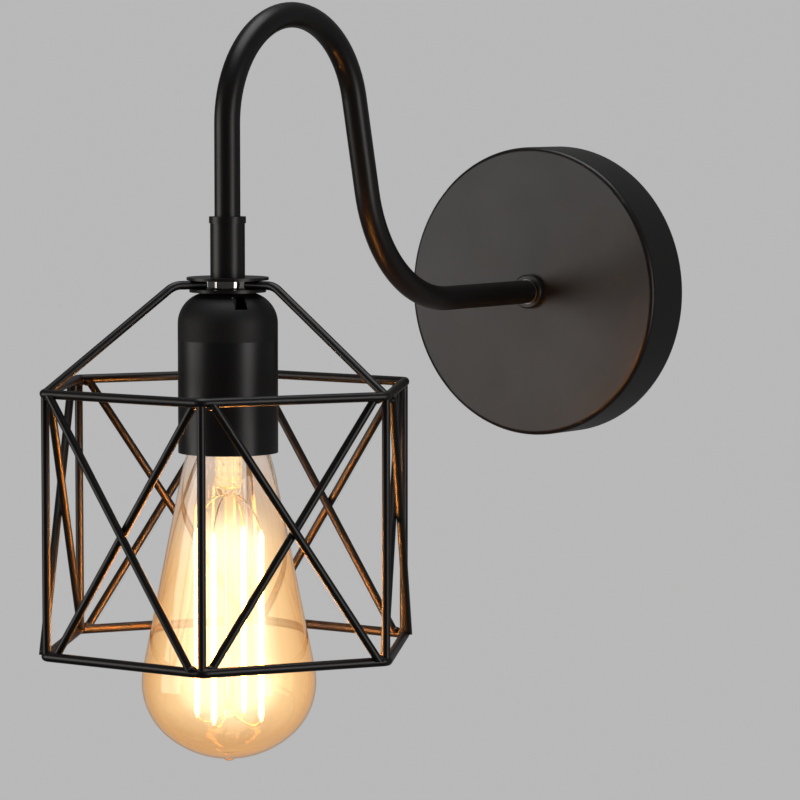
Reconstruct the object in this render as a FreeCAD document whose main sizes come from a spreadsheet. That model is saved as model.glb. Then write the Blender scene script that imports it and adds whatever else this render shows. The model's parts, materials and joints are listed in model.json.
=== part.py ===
"""Cage wall light: round wall plate, gooseneck arm, hexagonal wire cage and a screw-in bulb.

Millimetres. The origin is the centre of the wall plate's back face, on the wall.
+Z is up, and the light stands out from the wall towards -Y.
"""

import FreeCAD, Part
import math
import os
import re

import Sketcher

Vector = FreeCAD.Vector

SIZES = {
    # wall plate and what is inside it
    "plate_diameter": 117.0,
    "plate_depth": 22.3,
    "plate_wall": 1.2,
    "plate_edge_round": 1.8,
    "bracket_width": 30.0,
    "bracket_thickness": 2.0,
    "bracket_gap": 0.4,
    "bracket_ear": 11.0,
    "cable_hole": 18.0,
    "slot_spacing": 76.0,
    "slot_width": 4.6,
    "slot_length": 12.0,
    "cover_screw": 4.0,
    "cover_screw_past": 0.6,
    "cover_screw_depth": 7.5,
    "cover_screw_socket": 2.0,
    "earth_offset": 10.0,
    "earth_height": 28.0,
    "earth_screw": 4.0,
    "earth_head": 7.0,
    "earth_lug": 8.0,
    "lug_thickness": 0.8,
    "connector_radius": 4.0,
    "connector_tip": 2.6,
    "connector_length": 16.0,
    # arm
    "arm_projection": 223.2,
    "tube_diameter": 9.5,
    "tube_wall": 1.0,
    "arch_radius": 40.0,
    "slope_angle": 77.0,
    "sweep_radius": 55.5,
    "slope_run": 36.7,
    "collar_diameter": 13.8,
    "collar_thickness": 2.8,
    # threaded hardware
    "thread_diameter": 10.0,
    "thread_play": 0.05,
    "thread_bore": 7.4,
    "nut_across": 14.0,
    "nut_thickness": 3.0,
    "washer_thickness": 0.8,
    "washer_diameter": 16.0,
    "thread_end": 2.0,
    # wires inside the arm
    "wire_diameter": 2.2,
    "wire_spread": 1.4,
    "wire_bend": 5.0,
    "wire_back": 7.0,
    "lead_bend": 3.0,
    "lead_angle": 60.0,
    "fit_play": 0.1,
    # sleeve and hub
    "sleeve_diameter": 12.7,
    "sleeve_lip": 13.5,
    "sleeve_lip_height": 2.4,
    "sleeve_length": 22.1,
    "tube_seat": 11.0,
    "leg_height": 11.4,
    "hub_disc_upper": 30.0,
    "hub_disc_lower": 28.0,
    "disc_upper_thickness": 1.0,
    "disc_lower_thickness": 1.2,
    "hub_nut_across": 13.0,
    # lampholder
    "skirt_past_cap": 4.5,
    "cup_wall": 1.6,
    "cup_land": 6.8,
    "dome_height": 17.5,
    "skirt_lip": 3.0,
    "latch_width": 4.6,
    "latch_height": 4.5,
    "latch_top": 1.2,
    "latch_angle": -35.0,
    "insert_drop": 20.1,
    "insert_floor": 7.0,
    "insert_skirt": 2.1,
    "insert_recess": 3.1,
    "seat_play": 0.3,
    "shell_wall": 0.675,
    "shell_play": 0.3,
    "shell_length": 26.0,
    "rivet_diameter": 4.0,
    "contact_thickness": 0.6,
    "contact_length": 9.0,
    "contact_gap": 0.1,
    "terminal_size": 5.0,
    "terminal_spread": 7.0,
    "terminal_screw": 2.6,
    "terminal_screw_length": 4.0,
    # bulb
    "cap_major": 26.05,
    "thread_depth": 0.925,
    "cap_wall": 0.7,
    "cap_pitch": 3.629,
    "cap_turns": 4.2,
    "thread_crest": 0.7,
    "thread_root": 1.9,
    "thread_clearance": 0.3,
    "cap_skirt": 19.0,
    "insulator_height": 4.5,
    "insulator_tip": 5.5,
    "tip_diameter": 9.0,
    "tip_height": 2.9,
    "bulb_length": 145.0,
    "bulb_diameter": 64.1,
    "glass_wall": 0.8,
    "neck_gap": 1.0,
    "glass_shoulder": 26.0,
    "glass_belly": 28.3,
    "pip_diameter": 5.0,
    "pip_height": 1.2,
    "cap_exit": 0.9,
    "neck_height": 4.8,
    "stem_diameter": 12.0,
    "stem_length": 28.0,
    "stem_wall": 1.0,
    "stem_pinch": 4.0,
    "rod_diameter": 3.0,
    "filament_ring": 26.0,
    "filament_diameter": 2.4,
    "filament_foot": 15.2,
    "filament_tip": 3.0,
    "filament_angle": 12.5,
    "support_diameter": 0.8,
    # cage
    "cage_radius": 71.4,
    "cage_height": 94.9,
    "cage_drop": 37.8,
    "ring_wire": 3.4,
    "ring_bend": 3.0,
    "leg_wire": 3.2,
    "leg_start": 8.6,
    "leg_run": 21.0,
    "leg_bend": 8.0,
    "bar_wire": 3.0,
    "post_inboard": 0.1,
    "brace_inset": 3.6,
}

NAMES = re.compile(r"\b(" + "|".join(sorted(SIZES, key=len, reverse=True)) + r")\b")

# heights and distances worked out from the driving sizes, written in their names
CUP_TOP = "(leg_height - leg_wire / 2 - disc_lower_thickness)"
DISC_TOP = "(leg_height + leg_wire / 2 + disc_upper_thickness)"
SLEEVE_TOP = f"({DISC_TOP} + sleeve_length)"
TUBE_END = f"({SLEEVE_TOP} - tube_seat)"
DOME_BOTTOM = f"({CUP_TOP} - dome_height)"
CAP_MINOR = "(cap_major / 2 - thread_depth)"
SHELL_RADIUS = "(cap_major / 2 + thread_clearance + shell_wall)"
INSERT_RADIUS = f"({SHELL_RADIUS} + shell_play + insert_skirt)"
CUP_INSIDE = f"({INSERT_RADIUS} + seat_play)"
CUP_RADIUS = f"({CUP_INSIDE} + cup_wall)"
CUP_DOME = f"({CUP_RADIUS} - cup_land)"
LIP_SIDE = f"({CUP_INSIDE} + cup_wall / 2)"
INSERT_TOP = f"({CUP_TOP} - insert_drop)"
INSERT_FLOOR = f"({INSERT_TOP} - insert_floor)"
TIP_TOP = f"({INSERT_FLOOR} - contact_thickness - contact_gap)"
BULB_END = f"({TIP_TOP} - bulb_length)"
CAP_TOP = f"({TIP_TOP} - tip_height - insulator_height)"
CAP_BOTTOM = f"({CAP_TOP} - cap_skirt)"
CUP_BOTTOM = f"({CAP_BOTTOM} - skirt_past_cap)"
INSERT_BOTTOM = f"({CUP_BOTTOM} + insert_recess)"
NECK_FOOT = f"({CAP_BOTTOM} - neck_height)"
STEM_END = f"({CAP_BOTTOM} - stem_length)"
ARM_SPREAD = f"({STEM_END} - stem_pinch - support_diameter)"
FILAMENT_END = f"({BULB_END} + filament_foot)"
FILAMENT_LENGTH = f"({ARM_SPREAD} - {FILAMENT_END})"
RING_TOP = "(leg_height - cage_drop)"
RING_BOTTOM = f"({RING_TOP} - cage_height)"
END_INSET = "(ring_wire / 10)"
CORNER_RADIUS = "(cage_radius - ring_bend * (1 / cos(30) - 1))"
COLLAR_FRONT = "(plate_depth + collar_thickness)"
PLATE_INSIDE = "(plate_depth - plate_wall)"
STUB_END = f"({PLATE_INSIDE} - washer_thickness - nut_thickness - thread_end)"
RIM_INSIDE = "(plate_diameter / 2 - plate_wall)"
EAR_END = f"(sqrt(({RIM_INSIDE} - bracket_gap)^2 - (bracket_width / 2)^2))"
EAR_INSIDE = f"({EAR_END} - bracket_thickness)"
COVER_SCREW_LENGTH = (
    f"(plate_diameter / 2 - fit_play - {EAR_INSIDE} + cover_screw_past)"
)
BARREL_RADIUS = "(wire_diameter / 2 + lug_thickness)"
BARREL_CENTRE = f"({BARREL_RADIUS} + fit_play)"
BARREL_END = "(earth_height - earth_head / 2 - fit_play - wire_bend)"
THREAD_RADIUS = "(thread_diameter / 2)"
STUD_RADIUS = "(thread_diameter / 2 - thread_play)"

document = FreeCAD.newDocument("cage_wall_light")
sheet = document.addObject("Spreadsheet::Sheet", "Sizes")
for line, (alias, size) in enumerate(SIZES.items(), start=1):
    sheet.set(f"A{line}", alias)
    sheet.set(f"B{line}", str(size))
    sheet.setAlias(f"B{line}", alias)
document.recompute()

nodes = []


def bound(text):
    """The expression with each size's name written as a reference to its cell."""
    return NAMES.sub(r"Sizes.\1", text)


def value(text):
    """The number that an expression gives now."""
    return float(sheet.evalExpression(bound(text)))


def bind(thing, field, text):
    thing.setExpression(field, bound(text))


def place(thing, x="0", y="0", z="0", axis=(0, 0, 1), turn="0"):
    """Ties a placement to the sheet: a point, and a turn about an axis."""
    direction = ";".join(str(part) for part in axis)
    text = f"placement(vector({x};{y};{z}); rotation(vector({direction}); {turn}))"
    bind(thing, "Placement", text)


def place_on_lamp(thing, z="0", turn="0"):
    """Puts a thing made about Z on the lamp's own axis."""
    place(thing, y="-arm_projection", z=z, turn=turn)


def place_on_wall_axis(thing, depth="0"):
    """Turns a thing made about Z to point out of the wall, starting at a depth."""
    place(thing, y=f"-({depth})", axis=(1, 0, 0), turn="90")


def keep(thing, name):
    """Names a finished piece, which gets a file of its own."""
    thing.Label = name
    nodes.append(thing)
    return thing


def new_body(name):
    return document.addObject("PartDesign::Body", name + "_body")


def plane_of(body, role):
    return next(item for item in body.Origin.OriginFeatures if item.Role == role)


def new_sketch(body, name, role, lift=None):
    sketch = body.newObject("Sketcher::SketchObject", name)
    sketch.AttachmentSupport = (plane_of(body, role), [""])
    sketch.MapMode = "FlatFace"
    if lift:
        text = f"placement(vector(0;0;{lift}); rotation(vector(0;0;1); 0))"
        bind(sketch, "AttachmentOffset", text)
    return sketch


def tie_point(sketch, edge, end, x, y):
    """Holds one end of an edge at a place given by two expressions."""
    for kind, text in (("DistanceX", x), ("DistanceY", y)):
        constraint = Sketcher.Constraint(kind, -1, 1, edge, end, value(text))
        index = sketch.addConstraint(constraint)
        bind(sketch, f"Constraints[{index}]", text)


def arc_between(first, last, radius, side):
    """The arc of under a half circle from first to last that turns left or right."""
    chord = last - first
    across = Vector(-chord.y, chord.x, 0).normalize()
    rise = math.sqrt(max(radius**2 - (chord.Length / 2) ** 2, 0))
    centre = first + chord * 0.5 + across * (rise if side == "left" else -rise)
    ends = (first, last) if side == "left" else (last, first)
    angles = [math.atan2(end.y - centre.y, end.x - centre.x) for end in ends]
    return Part.ArcOfCircle(Part.Circle(centre, Vector(0, 0, 1), radius), *angles)


def trace(sketch, start, moves, closed=True):
    """Draws lines (x, y) and arcs (x, y, radius, side), each point tied to the sheet."""
    here = start
    ends = []
    closing = [start] if closed and moves[-1][:2] != start else []
    for move in moves + closing:
        first = Vector(value(here[0]), value(here[1]), 0)
        last = Vector(value(move[0]), value(move[1]), 0)
        if len(move) == 2:
            edge = sketch.addGeometry(Part.LineSegment(first, last))
            ends.append((edge, 1, 2))
        else:
            edge = sketch.addGeometry(arc_between(first, last, value(move[2]), move[3]))
            index = sketch.addConstraint(Sketcher.Constraint("Radius", edge, value(move[2])))
            bind(sketch, f"Constraints[{index}]", move[2])
            ends.append((edge, 1, 2) if move[3] == "left" else (edge, 2, 1))
        tie_point(sketch, edge, ends[-1][1], here[0], here[1])
        here = move
    if not closed:
        tie_point(sketch, ends[-1][0], ends[-1][2], here[0], here[1])
    follower = ends[1:] + (ends[:1] if closed else [])
    for (edge, _, last_end), (after, first_end, _) in zip(ends, follower):
        sketch.addConstraint(Sketcher.Constraint("Coincident", edge, last_end, after, first_end))


def circle(sketch, x, y, radius):
    edge = sketch.addGeometry(
        Part.Circle(Vector(value(x), value(y), 0), Vector(0, 0, 1), value(radius))
    )
    tie_point(sketch, edge, 3, x, y)
    index = sketch.addConstraint(Sketcher.Constraint("Radius", edge, value(radius)))
    bind(sketch, f"Constraints[{index}]", radius)


def polygon(sketch, sides, across):
    """A regular polygon about the sketch's origin, of a given size across its flats."""
    corner = f"({across}) / 2 / cos({180 / sides})"
    angles = [360 * (index + 0.5) / sides for index in range(sides)]
    points = [(f"{corner} * cos({angle})", f"{corner} * sin({angle})") for angle in angles]
    trace(sketch, points[0], points[1:])


def pad(body, sketch, length, midplane=False):
    feature = body.newObject("PartDesign::Pad", sketch.Name + "_pad")
    feature.Profile = sketch
    feature.Midplane = midplane
    bind(feature, "Length", length)
    return feature


def pocket_through(body, sketch):
    """Cuts a sketch through the whole solid, both ways."""
    feature = body.newObject("PartDesign::Pocket", sketch.Name + "_pocket")
    feature.Profile = sketch
    feature.Type = "ThroughAll"
    feature.Midplane = True
    return feature


def turn_outline(name, start, moves):
    """A body turned about Z from an outline of radii and heights."""
    body = new_body(name)
    sketch = new_sketch(body, name + "_outline", "XZ_Plane")
    trace(sketch, start, moves)
    feature = body.newObject("PartDesign::Revolution", name + "_turned")
    feature.Profile = sketch
    feature.ReferenceAxis = (sketch, ["V_Axis"])
    feature.Angle = 360
    return body


def turned_ring(name, inner, outer, low, high):
    """A plain turned ring."""
    return turn_outline(name, (inner, low), [(outer, low), (outer, high), (inner, high)])


def round_edge(body, radius, height, size):
    """Rounds the body's circular edge that lies at a radius and a height."""
    document.recompute()
    base = body.Tip
    names = []
    for index, edge in enumerate(base.Shape.Edges, start=1):
        curve = edge.Curve
        if not isinstance(curve, Part.Circle):
            continue
        same_radius = abs(curve.Radius - value(radius)) < 0.001
        if same_radius and abs(curve.Center.z - value(height)) < 0.001:
            names.append(f"Edge{index}")
    feature = body.newObject("PartDesign::Fillet", f"{body.Name}_round_{len(body.Group)}")
    feature.Base = (base, names)
    bind(feature, "Radius", size)


def rod(name, radius, length):
    """A plain round rod along Z."""
    thing = document.addObject("Part::Cylinder", name)
    bind(thing, "Radius", radius)
    bind(thing, "Height", length)
    return thing


def box(name, width, depth, height):
    thing = document.addObject("Part::Box", name)
    bind(thing, "Length", width)
    bind(thing, "Width", depth)
    bind(thing, "Height", height)
    return thing


def cut(name, base, tool):
    thing = document.addObject("Part::Cut", name)
    thing.Base = base
    thing.Tool = tool
    return thing


def group(name, things):
    """Separate solids that share one node."""
    thing = document.addObject("Part::Compound", name + "_set")
    thing.Links = things
    return keep(thing, name)


def pipe(body, profile, path, name):
    feature = body.newObject("PartDesign::AdditivePipe", name)
    feature.Profile = profile
    feature.Spine = (path, [])
    return feature


# ---- wall plate, its bracket and its wiring ---------------------------------------------


def make_wall_plate():
    """The spun steel dish, with the arm's hole in its face and a screw hole each end."""
    body = turn_outline(
        "wall_plate",
        (THREAD_RADIUS + " + fit_play", PLATE_INSIDE),
        [
            (RIM_INSIDE, PLATE_INSIDE),
            (RIM_INSIDE, "0"),
            ("plate_diameter / 2", "0"),
            ("plate_diameter / 2", "plate_depth"),
            (THREAD_RADIUS + " + fit_play", "plate_depth"),
        ],
    )
    round_edge(body, "plate_diameter / 2", "plate_depth", "plate_edge_round")
    round_edge(body, RIM_INSIDE, PLATE_INSIDE, "plate_edge_round / 2")
    holes = new_sketch(body, "cover_screw_holes", "XZ_Plane")
    circle(holes, "0", "cover_screw_depth", "cover_screw / 2 + fit_play")
    pocket_through(body, holes)
    place_on_wall_axis(body)
    keep(body, "wall_plate")


def make_mounting_bracket():
    """The flat bar with two wall slots, whose ends turn up inside the plate's rim."""
    body = new_body("mounting_bracket")
    side = new_sketch(body, "bracket_side", "YZ_Plane")
    trace(
        side,
        ("0", EAR_END),
        [
            ("-bracket_ear", EAR_END),
            ("-bracket_ear", EAR_INSIDE),
            ("-bracket_thickness", EAR_INSIDE),
            ("-bracket_thickness", f"-{EAR_INSIDE}"),
            ("-bracket_ear", f"-{EAR_INSIDE}"),
            ("-bracket_ear", f"-{EAR_END}"),
            ("0", f"-{EAR_END}"),
        ],
    )
    pad(body, side, "bracket_width", midplane=True)
    holes = new_sketch(body, "bracket_holes", "XZ_Plane")
    circle(holes, "0", "0", "cable_hole / 2")
    circle(holes, "-earth_offset", "earth_height", "earth_screw / 2")
    for sign in ("", "-"):
        half_run = "(slot_length - slot_width) / 2"
        low = f"{sign}slot_spacing / 2 - {half_run}"
        high = f"{sign}slot_spacing / 2 + {half_run}"
        middle = f"{sign}slot_spacing / 2"
        reach = "slot_width / 2"
        trace(
            holes,
            (reach, low),
            [
                (reach, high),
                ("0", f"{middle} + slot_length / 2", reach, "left"),
                (f"-{reach}", high, reach, "left"),
                (f"-{reach}", low),
                ("0", f"{middle} - slot_length / 2", reach, "left"),
                (reach, low, reach, "left"),
            ],
        )
    pocket_through(body, holes)
    ears = new_sketch(body, "ear_holes", "XY_Plane")
    circle(ears, "0", "-cover_screw_depth", "cover_screw / 2")
    pocket_through(body, ears)
    keep(body, "mounting_bracket")


def make_cover_screws():
    """Two socket set screws that hold the plate's rim to the bracket's ears."""
    screws = []
    for side, turn in (("top", "0"), ("bottom", "180")):
        body = new_body(f"cover_screw_{side}")
        shank = new_sketch(body, f"cover_shank_{side}", "XY_Plane")
        circle(shank, "0", "0", "cover_screw / 2 - thread_play")
        pad(body, shank, COVER_SCREW_LENGTH)
        document.recompute()
        socket = new_sketch(body, f"cover_socket_{side}", "XY_Plane", COVER_SCREW_LENGTH)
        polygon(socket, 6, "cover_screw_socket")
        feature = body.newObject("PartDesign::Pocket", f"cover_socket_cut_{side}")
        feature.Profile = socket
        bind(feature, "Length", "cover_screw_socket")
        sign = "1" if side == "top" else "-1"
        foot = f"{sign} * ({EAR_INSIDE} - cover_screw_past)"
        place(body, y="-cover_screw_depth", z=foot, axis=(1, 0, 0), turn=turn)
        screws.append(body)
    group("cover_screws", screws)


def make_earth_point():
    """The earth screw, the ring lug under its head and the earth wire to the arm's tag."""
    screw = turn_outline(
        "earth_screw",
        ("0", "0"),
        [
            ("earth_screw / 2 - thread_play", "0"),
            ("earth_screw / 2 - thread_play", "bracket_thickness + lug_thickness"),
            ("earth_head / 2", "bracket_thickness + lug_thickness"),
            ("earth_head / 2", "bracket_thickness + lug_thickness + earth_screw / 2"),
            ("0", "bracket_thickness + lug_thickness + earth_screw / 2"),
        ],
    )
    place(screw, x="-earth_offset", z="earth_height", axis=(1, 0, 0), turn="90")
    keep(screw, "earth_screw")

    lug = new_body("earth_lug")
    ring = new_sketch(lug, "lug_ring", "XY_Plane")
    circle(ring, "0", "0", "earth_lug / 2")
    circle(ring, "0", "0", "earth_screw / 2")
    pad(lug, ring, "lug_thickness")
    tail = new_sketch(lug, "lug_barrel", "XZ_Plane", "earth_head / 2 + fit_play")
    circle(tail, "0", BARREL_CENTRE, BARREL_RADIUS)
    pad(lug, tail, "wire_bend")
    place(
        lug,
        x="-earth_offset",
        y="-bracket_thickness",
        z="earth_height",
        axis=(1, 0, 0),
        turn="90",
    )
    keep(lug, "earth_lug")

    wire = new_body("wire_earth")
    path = new_sketch(wire, "earth_path", "YZ_Plane", "-earth_offset")
    back = f"-(bracket_thickness + {BARREL_CENTRE})"
    tag = f"-({PLATE_INSIDE} - washer_thickness)"
    trace(
        path,
        (back, BARREL_END),
        [
            (back, "wire_bend"),
            (f"{back} - wire_bend", "0", "wire_bend", "right"),
            (tag, "0"),
        ],
        closed=False,
    )
    end = new_sketch(wire, "earth_section", "XY_Plane", BARREL_END)
    circle(end, "-earth_offset", back, "wire_diameter / 2")
    pipe(wire, end, path, "earth_pipe")
    keep(wire, "wire_earth")


def make_wire_connectors():
    """Two twist-on connectors, each over the bare end of one of the arm's wires."""
    caps = []
    for side, sign in (("live", "-1"), ("neutral", "1")):
        bore = "wire_diameter / 2 + fit_play"
        body = turn_outline(
            f"connector_{side}",
            (bore, "0"),
            [
                ("connector_radius", "0"),
                ("connector_radius", "connector_length / 2"),
                ("connector_tip", "connector_length"),
                ("0", "connector_length"),
                ("0", "wire_bend"),
                (bore, "wire_bend"),
            ],
        )
        turn = "180" if side == "live" else "0"
        place(
            body,
            x=f"-({sign}) * wire_spread",
            y="-wire_back",
            z=f"{sign} * 2 * wire_bend",
            axis=(1, 0, 0),
            turn=turn,
        )
        caps.append(body)
    group("wire_connectors", caps)


# ---- arm ---------------------------------------------------------------------------------

SWEEP_DROP = "(sweep_radius * (1 - cos(slope_angle)))"
SWEEP_REACH = "(sweep_radius * sin(slope_angle))"
SLOPE_Y = "(slope_run * cos(slope_angle))"
SLOPE_Z = "(slope_run * sin(slope_angle))"
ARCH_Y = "(arch_radius * (1 + sin(slope_angle)))"
ARCH_RISE = "(arch_radius * cos(slope_angle))"
ARCH_START = f"({SWEEP_DROP} + {SLOPE_Z} - {ARCH_RISE})"
LEAD_SIDE = "(lead_bend * (1 - cos(lead_angle)))"
LEAD_RISE = "(lead_bend * sin(lead_angle))"
LEAD_RUN_RISE = f"((terminal_spread - 2 * {LEAD_SIDE}) / tan(lead_angle))"


def arm_route():
    """The arm's centre line from its foot above the cage, over the arch, to the wall run."""
    return [
        ("-arm_projection", ARCH_START),
        (
            f"-arm_projection + {ARCH_Y}",
            f"{ARCH_START} + {ARCH_RISE}",
            "arch_radius",
            "right",
        ),
        (f"-arm_projection + {ARCH_Y} + {SLOPE_Y}", SWEEP_DROP),
        (
            f"-arm_projection + {ARCH_Y} + {SLOPE_Y} + {SWEEP_REACH}",
            "0",
            "sweep_radius",
            "left",
        ),
    ]


def make_arm_tube():
    body = new_body("arm_tube")
    path = new_sketch(body, "arm_path", "YZ_Plane")
    moves = arm_route() + [(f"-{COLLAR_FRONT}", "0")]
    trace(path, ("-arm_projection", TUBE_END), moves, closed=False)
    section = new_sketch(body, "arm_section", "XY_Plane", TUBE_END)
    circle(section, "0", "-arm_projection", "tube_diameter / 2")
    circle(section, "0", "-arm_projection", "tube_diameter / 2 - tube_wall")
    pipe(body, section, path, "arm_pipe")
    keep(body, "arm_tube")


def make_arm_wires():
    """Two wires through the arm, from the connectors behind the plate to the lampholder."""
    low = f"({INSERT_TOP} + terminal_size / 4)"
    heights = [f"({INSERT_TOP} + terminal_size)"]
    for rise in (LEAD_RISE, LEAD_RUN_RISE, LEAD_RISE):
        heights.append(f"({heights[-1]} + {rise})")
    for name, sign, first, second in (
        ("wire_live", 1, "left", "right"),
        ("wire_neutral", -1, "right", "left"),
    ):
        body = new_body(name)
        path = new_sketch(body, name + "_path", "YZ_Plane", f"{sign} * wire_spread")
        foot = f"-arm_projection + {sign} * terminal_spread"
        moves = [
            (foot, heights[0]),
            (f"{foot} - {sign} * {LEAD_SIDE}", heights[1], "lead_bend", first),
            (f"-arm_projection + {sign} * {LEAD_SIDE}", heights[2]),
            ("-arm_projection", heights[3], "lead_bend", second),
        ]
        moves += arm_route()
        moves += [
            ("-wire_back - wire_bend", "0"),
            ("-wire_back", f"-{sign} * wire_bend", "wire_bend", second),
            ("-wire_back", f"-{sign} * 3 * wire_bend"),
        ]
        trace(path, (foot, low), moves, closed=False)
        section = new_sketch(body, name + "_section", "XY_Plane", low)
        circle(section, f"{sign} * wire_spread", foot, "wire_diameter / 2")
        pipe(body, section, path, name + "_pipe")
        keep(body, name)


def make_arm_collar():
    body = turned_ring(
        "arm_collar", THREAD_RADIUS, "collar_diameter / 2", "plate_depth", COLLAR_FRONT
    )
    round_edge(body, "collar_diameter / 2", COLLAR_FRONT, "collar_thickness / 4")
    place_on_wall_axis(body)
    keep(body, "arm_collar")


def make_arm_stub():
    """The hollow threaded stub brazed on the tube's end, which goes through the plate."""
    body = turned_ring("arm_stub", "thread_bore / 2", STUD_RADIUS, STUB_END, COLLAR_FRONT)
    place_on_wall_axis(body)
    keep(body, "arm_stub")


def hex_nut(name, across, thickness):
    body = new_body(name)
    sketch = new_sketch(body, name + "_outline", "XY_Plane")
    polygon(sketch, 6, across)
    circle(sketch, "0", "0", THREAD_RADIUS)
    pad(body, sketch, thickness)
    return body


def make_plate_nut():
    body = hex_nut("plate_nut", "nut_across", "nut_thickness")
    place_on_wall_axis(body, f"{PLATE_INSIDE} - washer_thickness - nut_thickness")
    keep(body, "plate_nut")


def make_tag_washer():
    """The washer under the plate's nut, with the tag that the earth wire is soldered to."""
    body = new_body("tag_washer")
    sketch = new_sketch(body, "tag_washer_outline", "XY_Plane")
    half = "wire_diameter"
    edge = f"sqrt((washer_diameter / 2)^2 - ({half})^2)"
    end = "earth_offset + wire_diameter"
    trace(
        sketch,
        (f"-{edge}", half),
        [
            (f"-({end})", half),
            (f"-({end})", f"-{half}"),
            (f"-{edge}", f"-{half}"),
            ("0", "-washer_diameter / 2", "washer_diameter / 2", "left"),
            ("washer_diameter / 2", "0", "washer_diameter / 2", "left"),
            ("0", "washer_diameter / 2", "washer_diameter / 2", "left"),
            (f"-{edge}", half, "washer_diameter / 2", "left"),
        ],
    )
    circle(sketch, "0", "0", THREAD_RADIUS)
    pad(body, sketch, "washer_thickness")
    place_on_wall_axis(body, f"{PLATE_INSIDE} - washer_thickness")
    keep(body, "tag_washer")


# ---- sleeve, hub and lampholder ----------------------------------------------------------


def make_tube_sleeve():
    """The ferrule that joins the arm to the lampholder's nipple."""
    lip = f"({SLEEVE_TOP} - sleeve_lip_height)"
    tube = "tube_diameter / 2 + thread_play"
    body = turn_outline(
        "tube_sleeve",
        (THREAD_RADIUS, DISC_TOP),
        [
            ("sleeve_diameter / 2", DISC_TOP),
            ("sleeve_diameter / 2", lip),
            ("sleeve_lip / 2", lip),
            ("sleeve_lip / 2", SLEEVE_TOP),
            (tube, SLEEVE_TOP),
            (tube, TUBE_END),
            (THREAD_RADIUS, TUBE_END),
        ],
    )
    place_on_lamp(body)
    keep(body, "tube_sleeve")


def make_lower_nipple():
    low = f"({CUP_TOP} - cup_wall - washer_thickness - nut_thickness - thread_end)"
    body = turned_ring("lower_nipple", "thread_bore / 2", STUD_RADIUS, low, TUBE_END)
    place_on_lamp(body)
    keep(body, "lower_nipple")


def make_hub():
    """Two discs on the nipple, which clamp the lock nut between the cage's three legs."""
    upper_low = "leg_height + leg_wire / 2"
    upper = turned_ring("hub_disc_upper", THREAD_RADIUS, "hub_disc_upper / 2", upper_low, DISC_TOP)
    lower_top = "leg_height - leg_wire / 2"
    lower = turned_ring("hub_disc_lower", THREAD_RADIUS, "hub_disc_lower / 2", CUP_TOP, lower_top)
    nut = hex_nut("hub_nut", "hub_nut_across", "leg_wire")
    place_on_lamp(upper)
    place_on_lamp(lower)
    place_on_lamp(nut, z=lower_top)
    keep(upper, "hub_disc_upper")
    keep(lower, "hub_disc_lower")
    keep(nut, "hub_nut")


def make_lampholder_dome():
    """The cup's domed upper part, with a latch window in its shoulder on two sides."""
    top_inside = f"({CUP_TOP} - cup_wall)"
    rebate = f"({DOME_BOTTOM} + skirt_lip)"
    body = turn_outline(
        "lampholder_dome",
        (THREAD_RADIUS, CUP_TOP),
        [
            (THREAD_RADIUS, top_inside),
            (CUP_INSIDE, top_inside),
            (CUP_INSIDE, rebate),
            (LIP_SIDE, rebate),
            (LIP_SIDE, DOME_BOTTOM),
            (CUP_RADIUS, DOME_BOTTOM),
            (CUP_RADIUS, CUP_TOP),
        ],
    )
    round_edge(body, CUP_RADIUS, CUP_TOP, CUP_DOME)
    round_edge(body, CUP_INSIDE, top_inside, f"{CUP_DOME} - cup_wall")
    window = new_sketch(body, "latch_window", "YZ_Plane")
    high = f"({CUP_TOP} - latch_top)"
    low = f"({high} - latch_height)"
    half = "latch_width / 2"
    trace(window, (f"-{half}", low), [(half, low), (half, high), (f"-{half}", high)])
    pocket_through(body, window)
    place_on_lamp(body, turn="latch_angle")
    keep(body, "lampholder_dome")


def make_lampholder_skirt():
    """The cup's straight lower part, whose thin lip stands inside the dome's rebate."""
    lip_outer = f"({LIP_SIDE} - fit_play)"
    lip_top = f"({DOME_BOTTOM} + skirt_lip - fit_play)"
    body = turn_outline(
        "lampholder_skirt",
        (CUP_INSIDE, CUP_BOTTOM),
        [
            (CUP_RADIUS, CUP_BOTTOM),
            (CUP_RADIUS, DOME_BOTTOM),
            (lip_outer, DOME_BOTTOM),
            (lip_outer, lip_top),
            (CUP_INSIDE, lip_top),
        ],
    )
    place_on_lamp(body)
    keep(body, "lampholder_skirt")


def make_holder_fixings():
    """The washer and nut on the nipple's end, inside the cup."""
    washer_low = f"({CUP_TOP} - cup_wall - washer_thickness)"
    washer = turned_ring(
        "holder_washer",
        THREAD_RADIUS,
        "cup_land - fit_play",
        washer_low,
        f"{CUP_TOP} - cup_wall",
    )
    place_on_lamp(washer)
    keep(washer, "holder_washer")
    nut = hex_nut("holder_nut", "nut_across", "nut_thickness")
    place_on_lamp(nut, z=f"{washer_low} - nut_thickness")
    keep(nut, "holder_nut")


def make_holder_insert():
    """The ceramic insert: a thick floor that carries the contacts, and a skirt below it."""
    inner = f"({INSERT_RADIUS} - insert_skirt)"
    body = turn_outline(
        "holder_insert",
        ("rivet_diameter / 2", INSERT_TOP),
        [
            ("rivet_diameter / 2", INSERT_FLOOR),
            (inner, INSERT_FLOOR),
            (inner, INSERT_BOTTOM),
            (INSERT_RADIUS, INSERT_BOTTOM),
            (INSERT_RADIUS, INSERT_TOP),
        ],
    )
    place_on_lamp(body)
    keep(body, "holder_insert")


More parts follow.
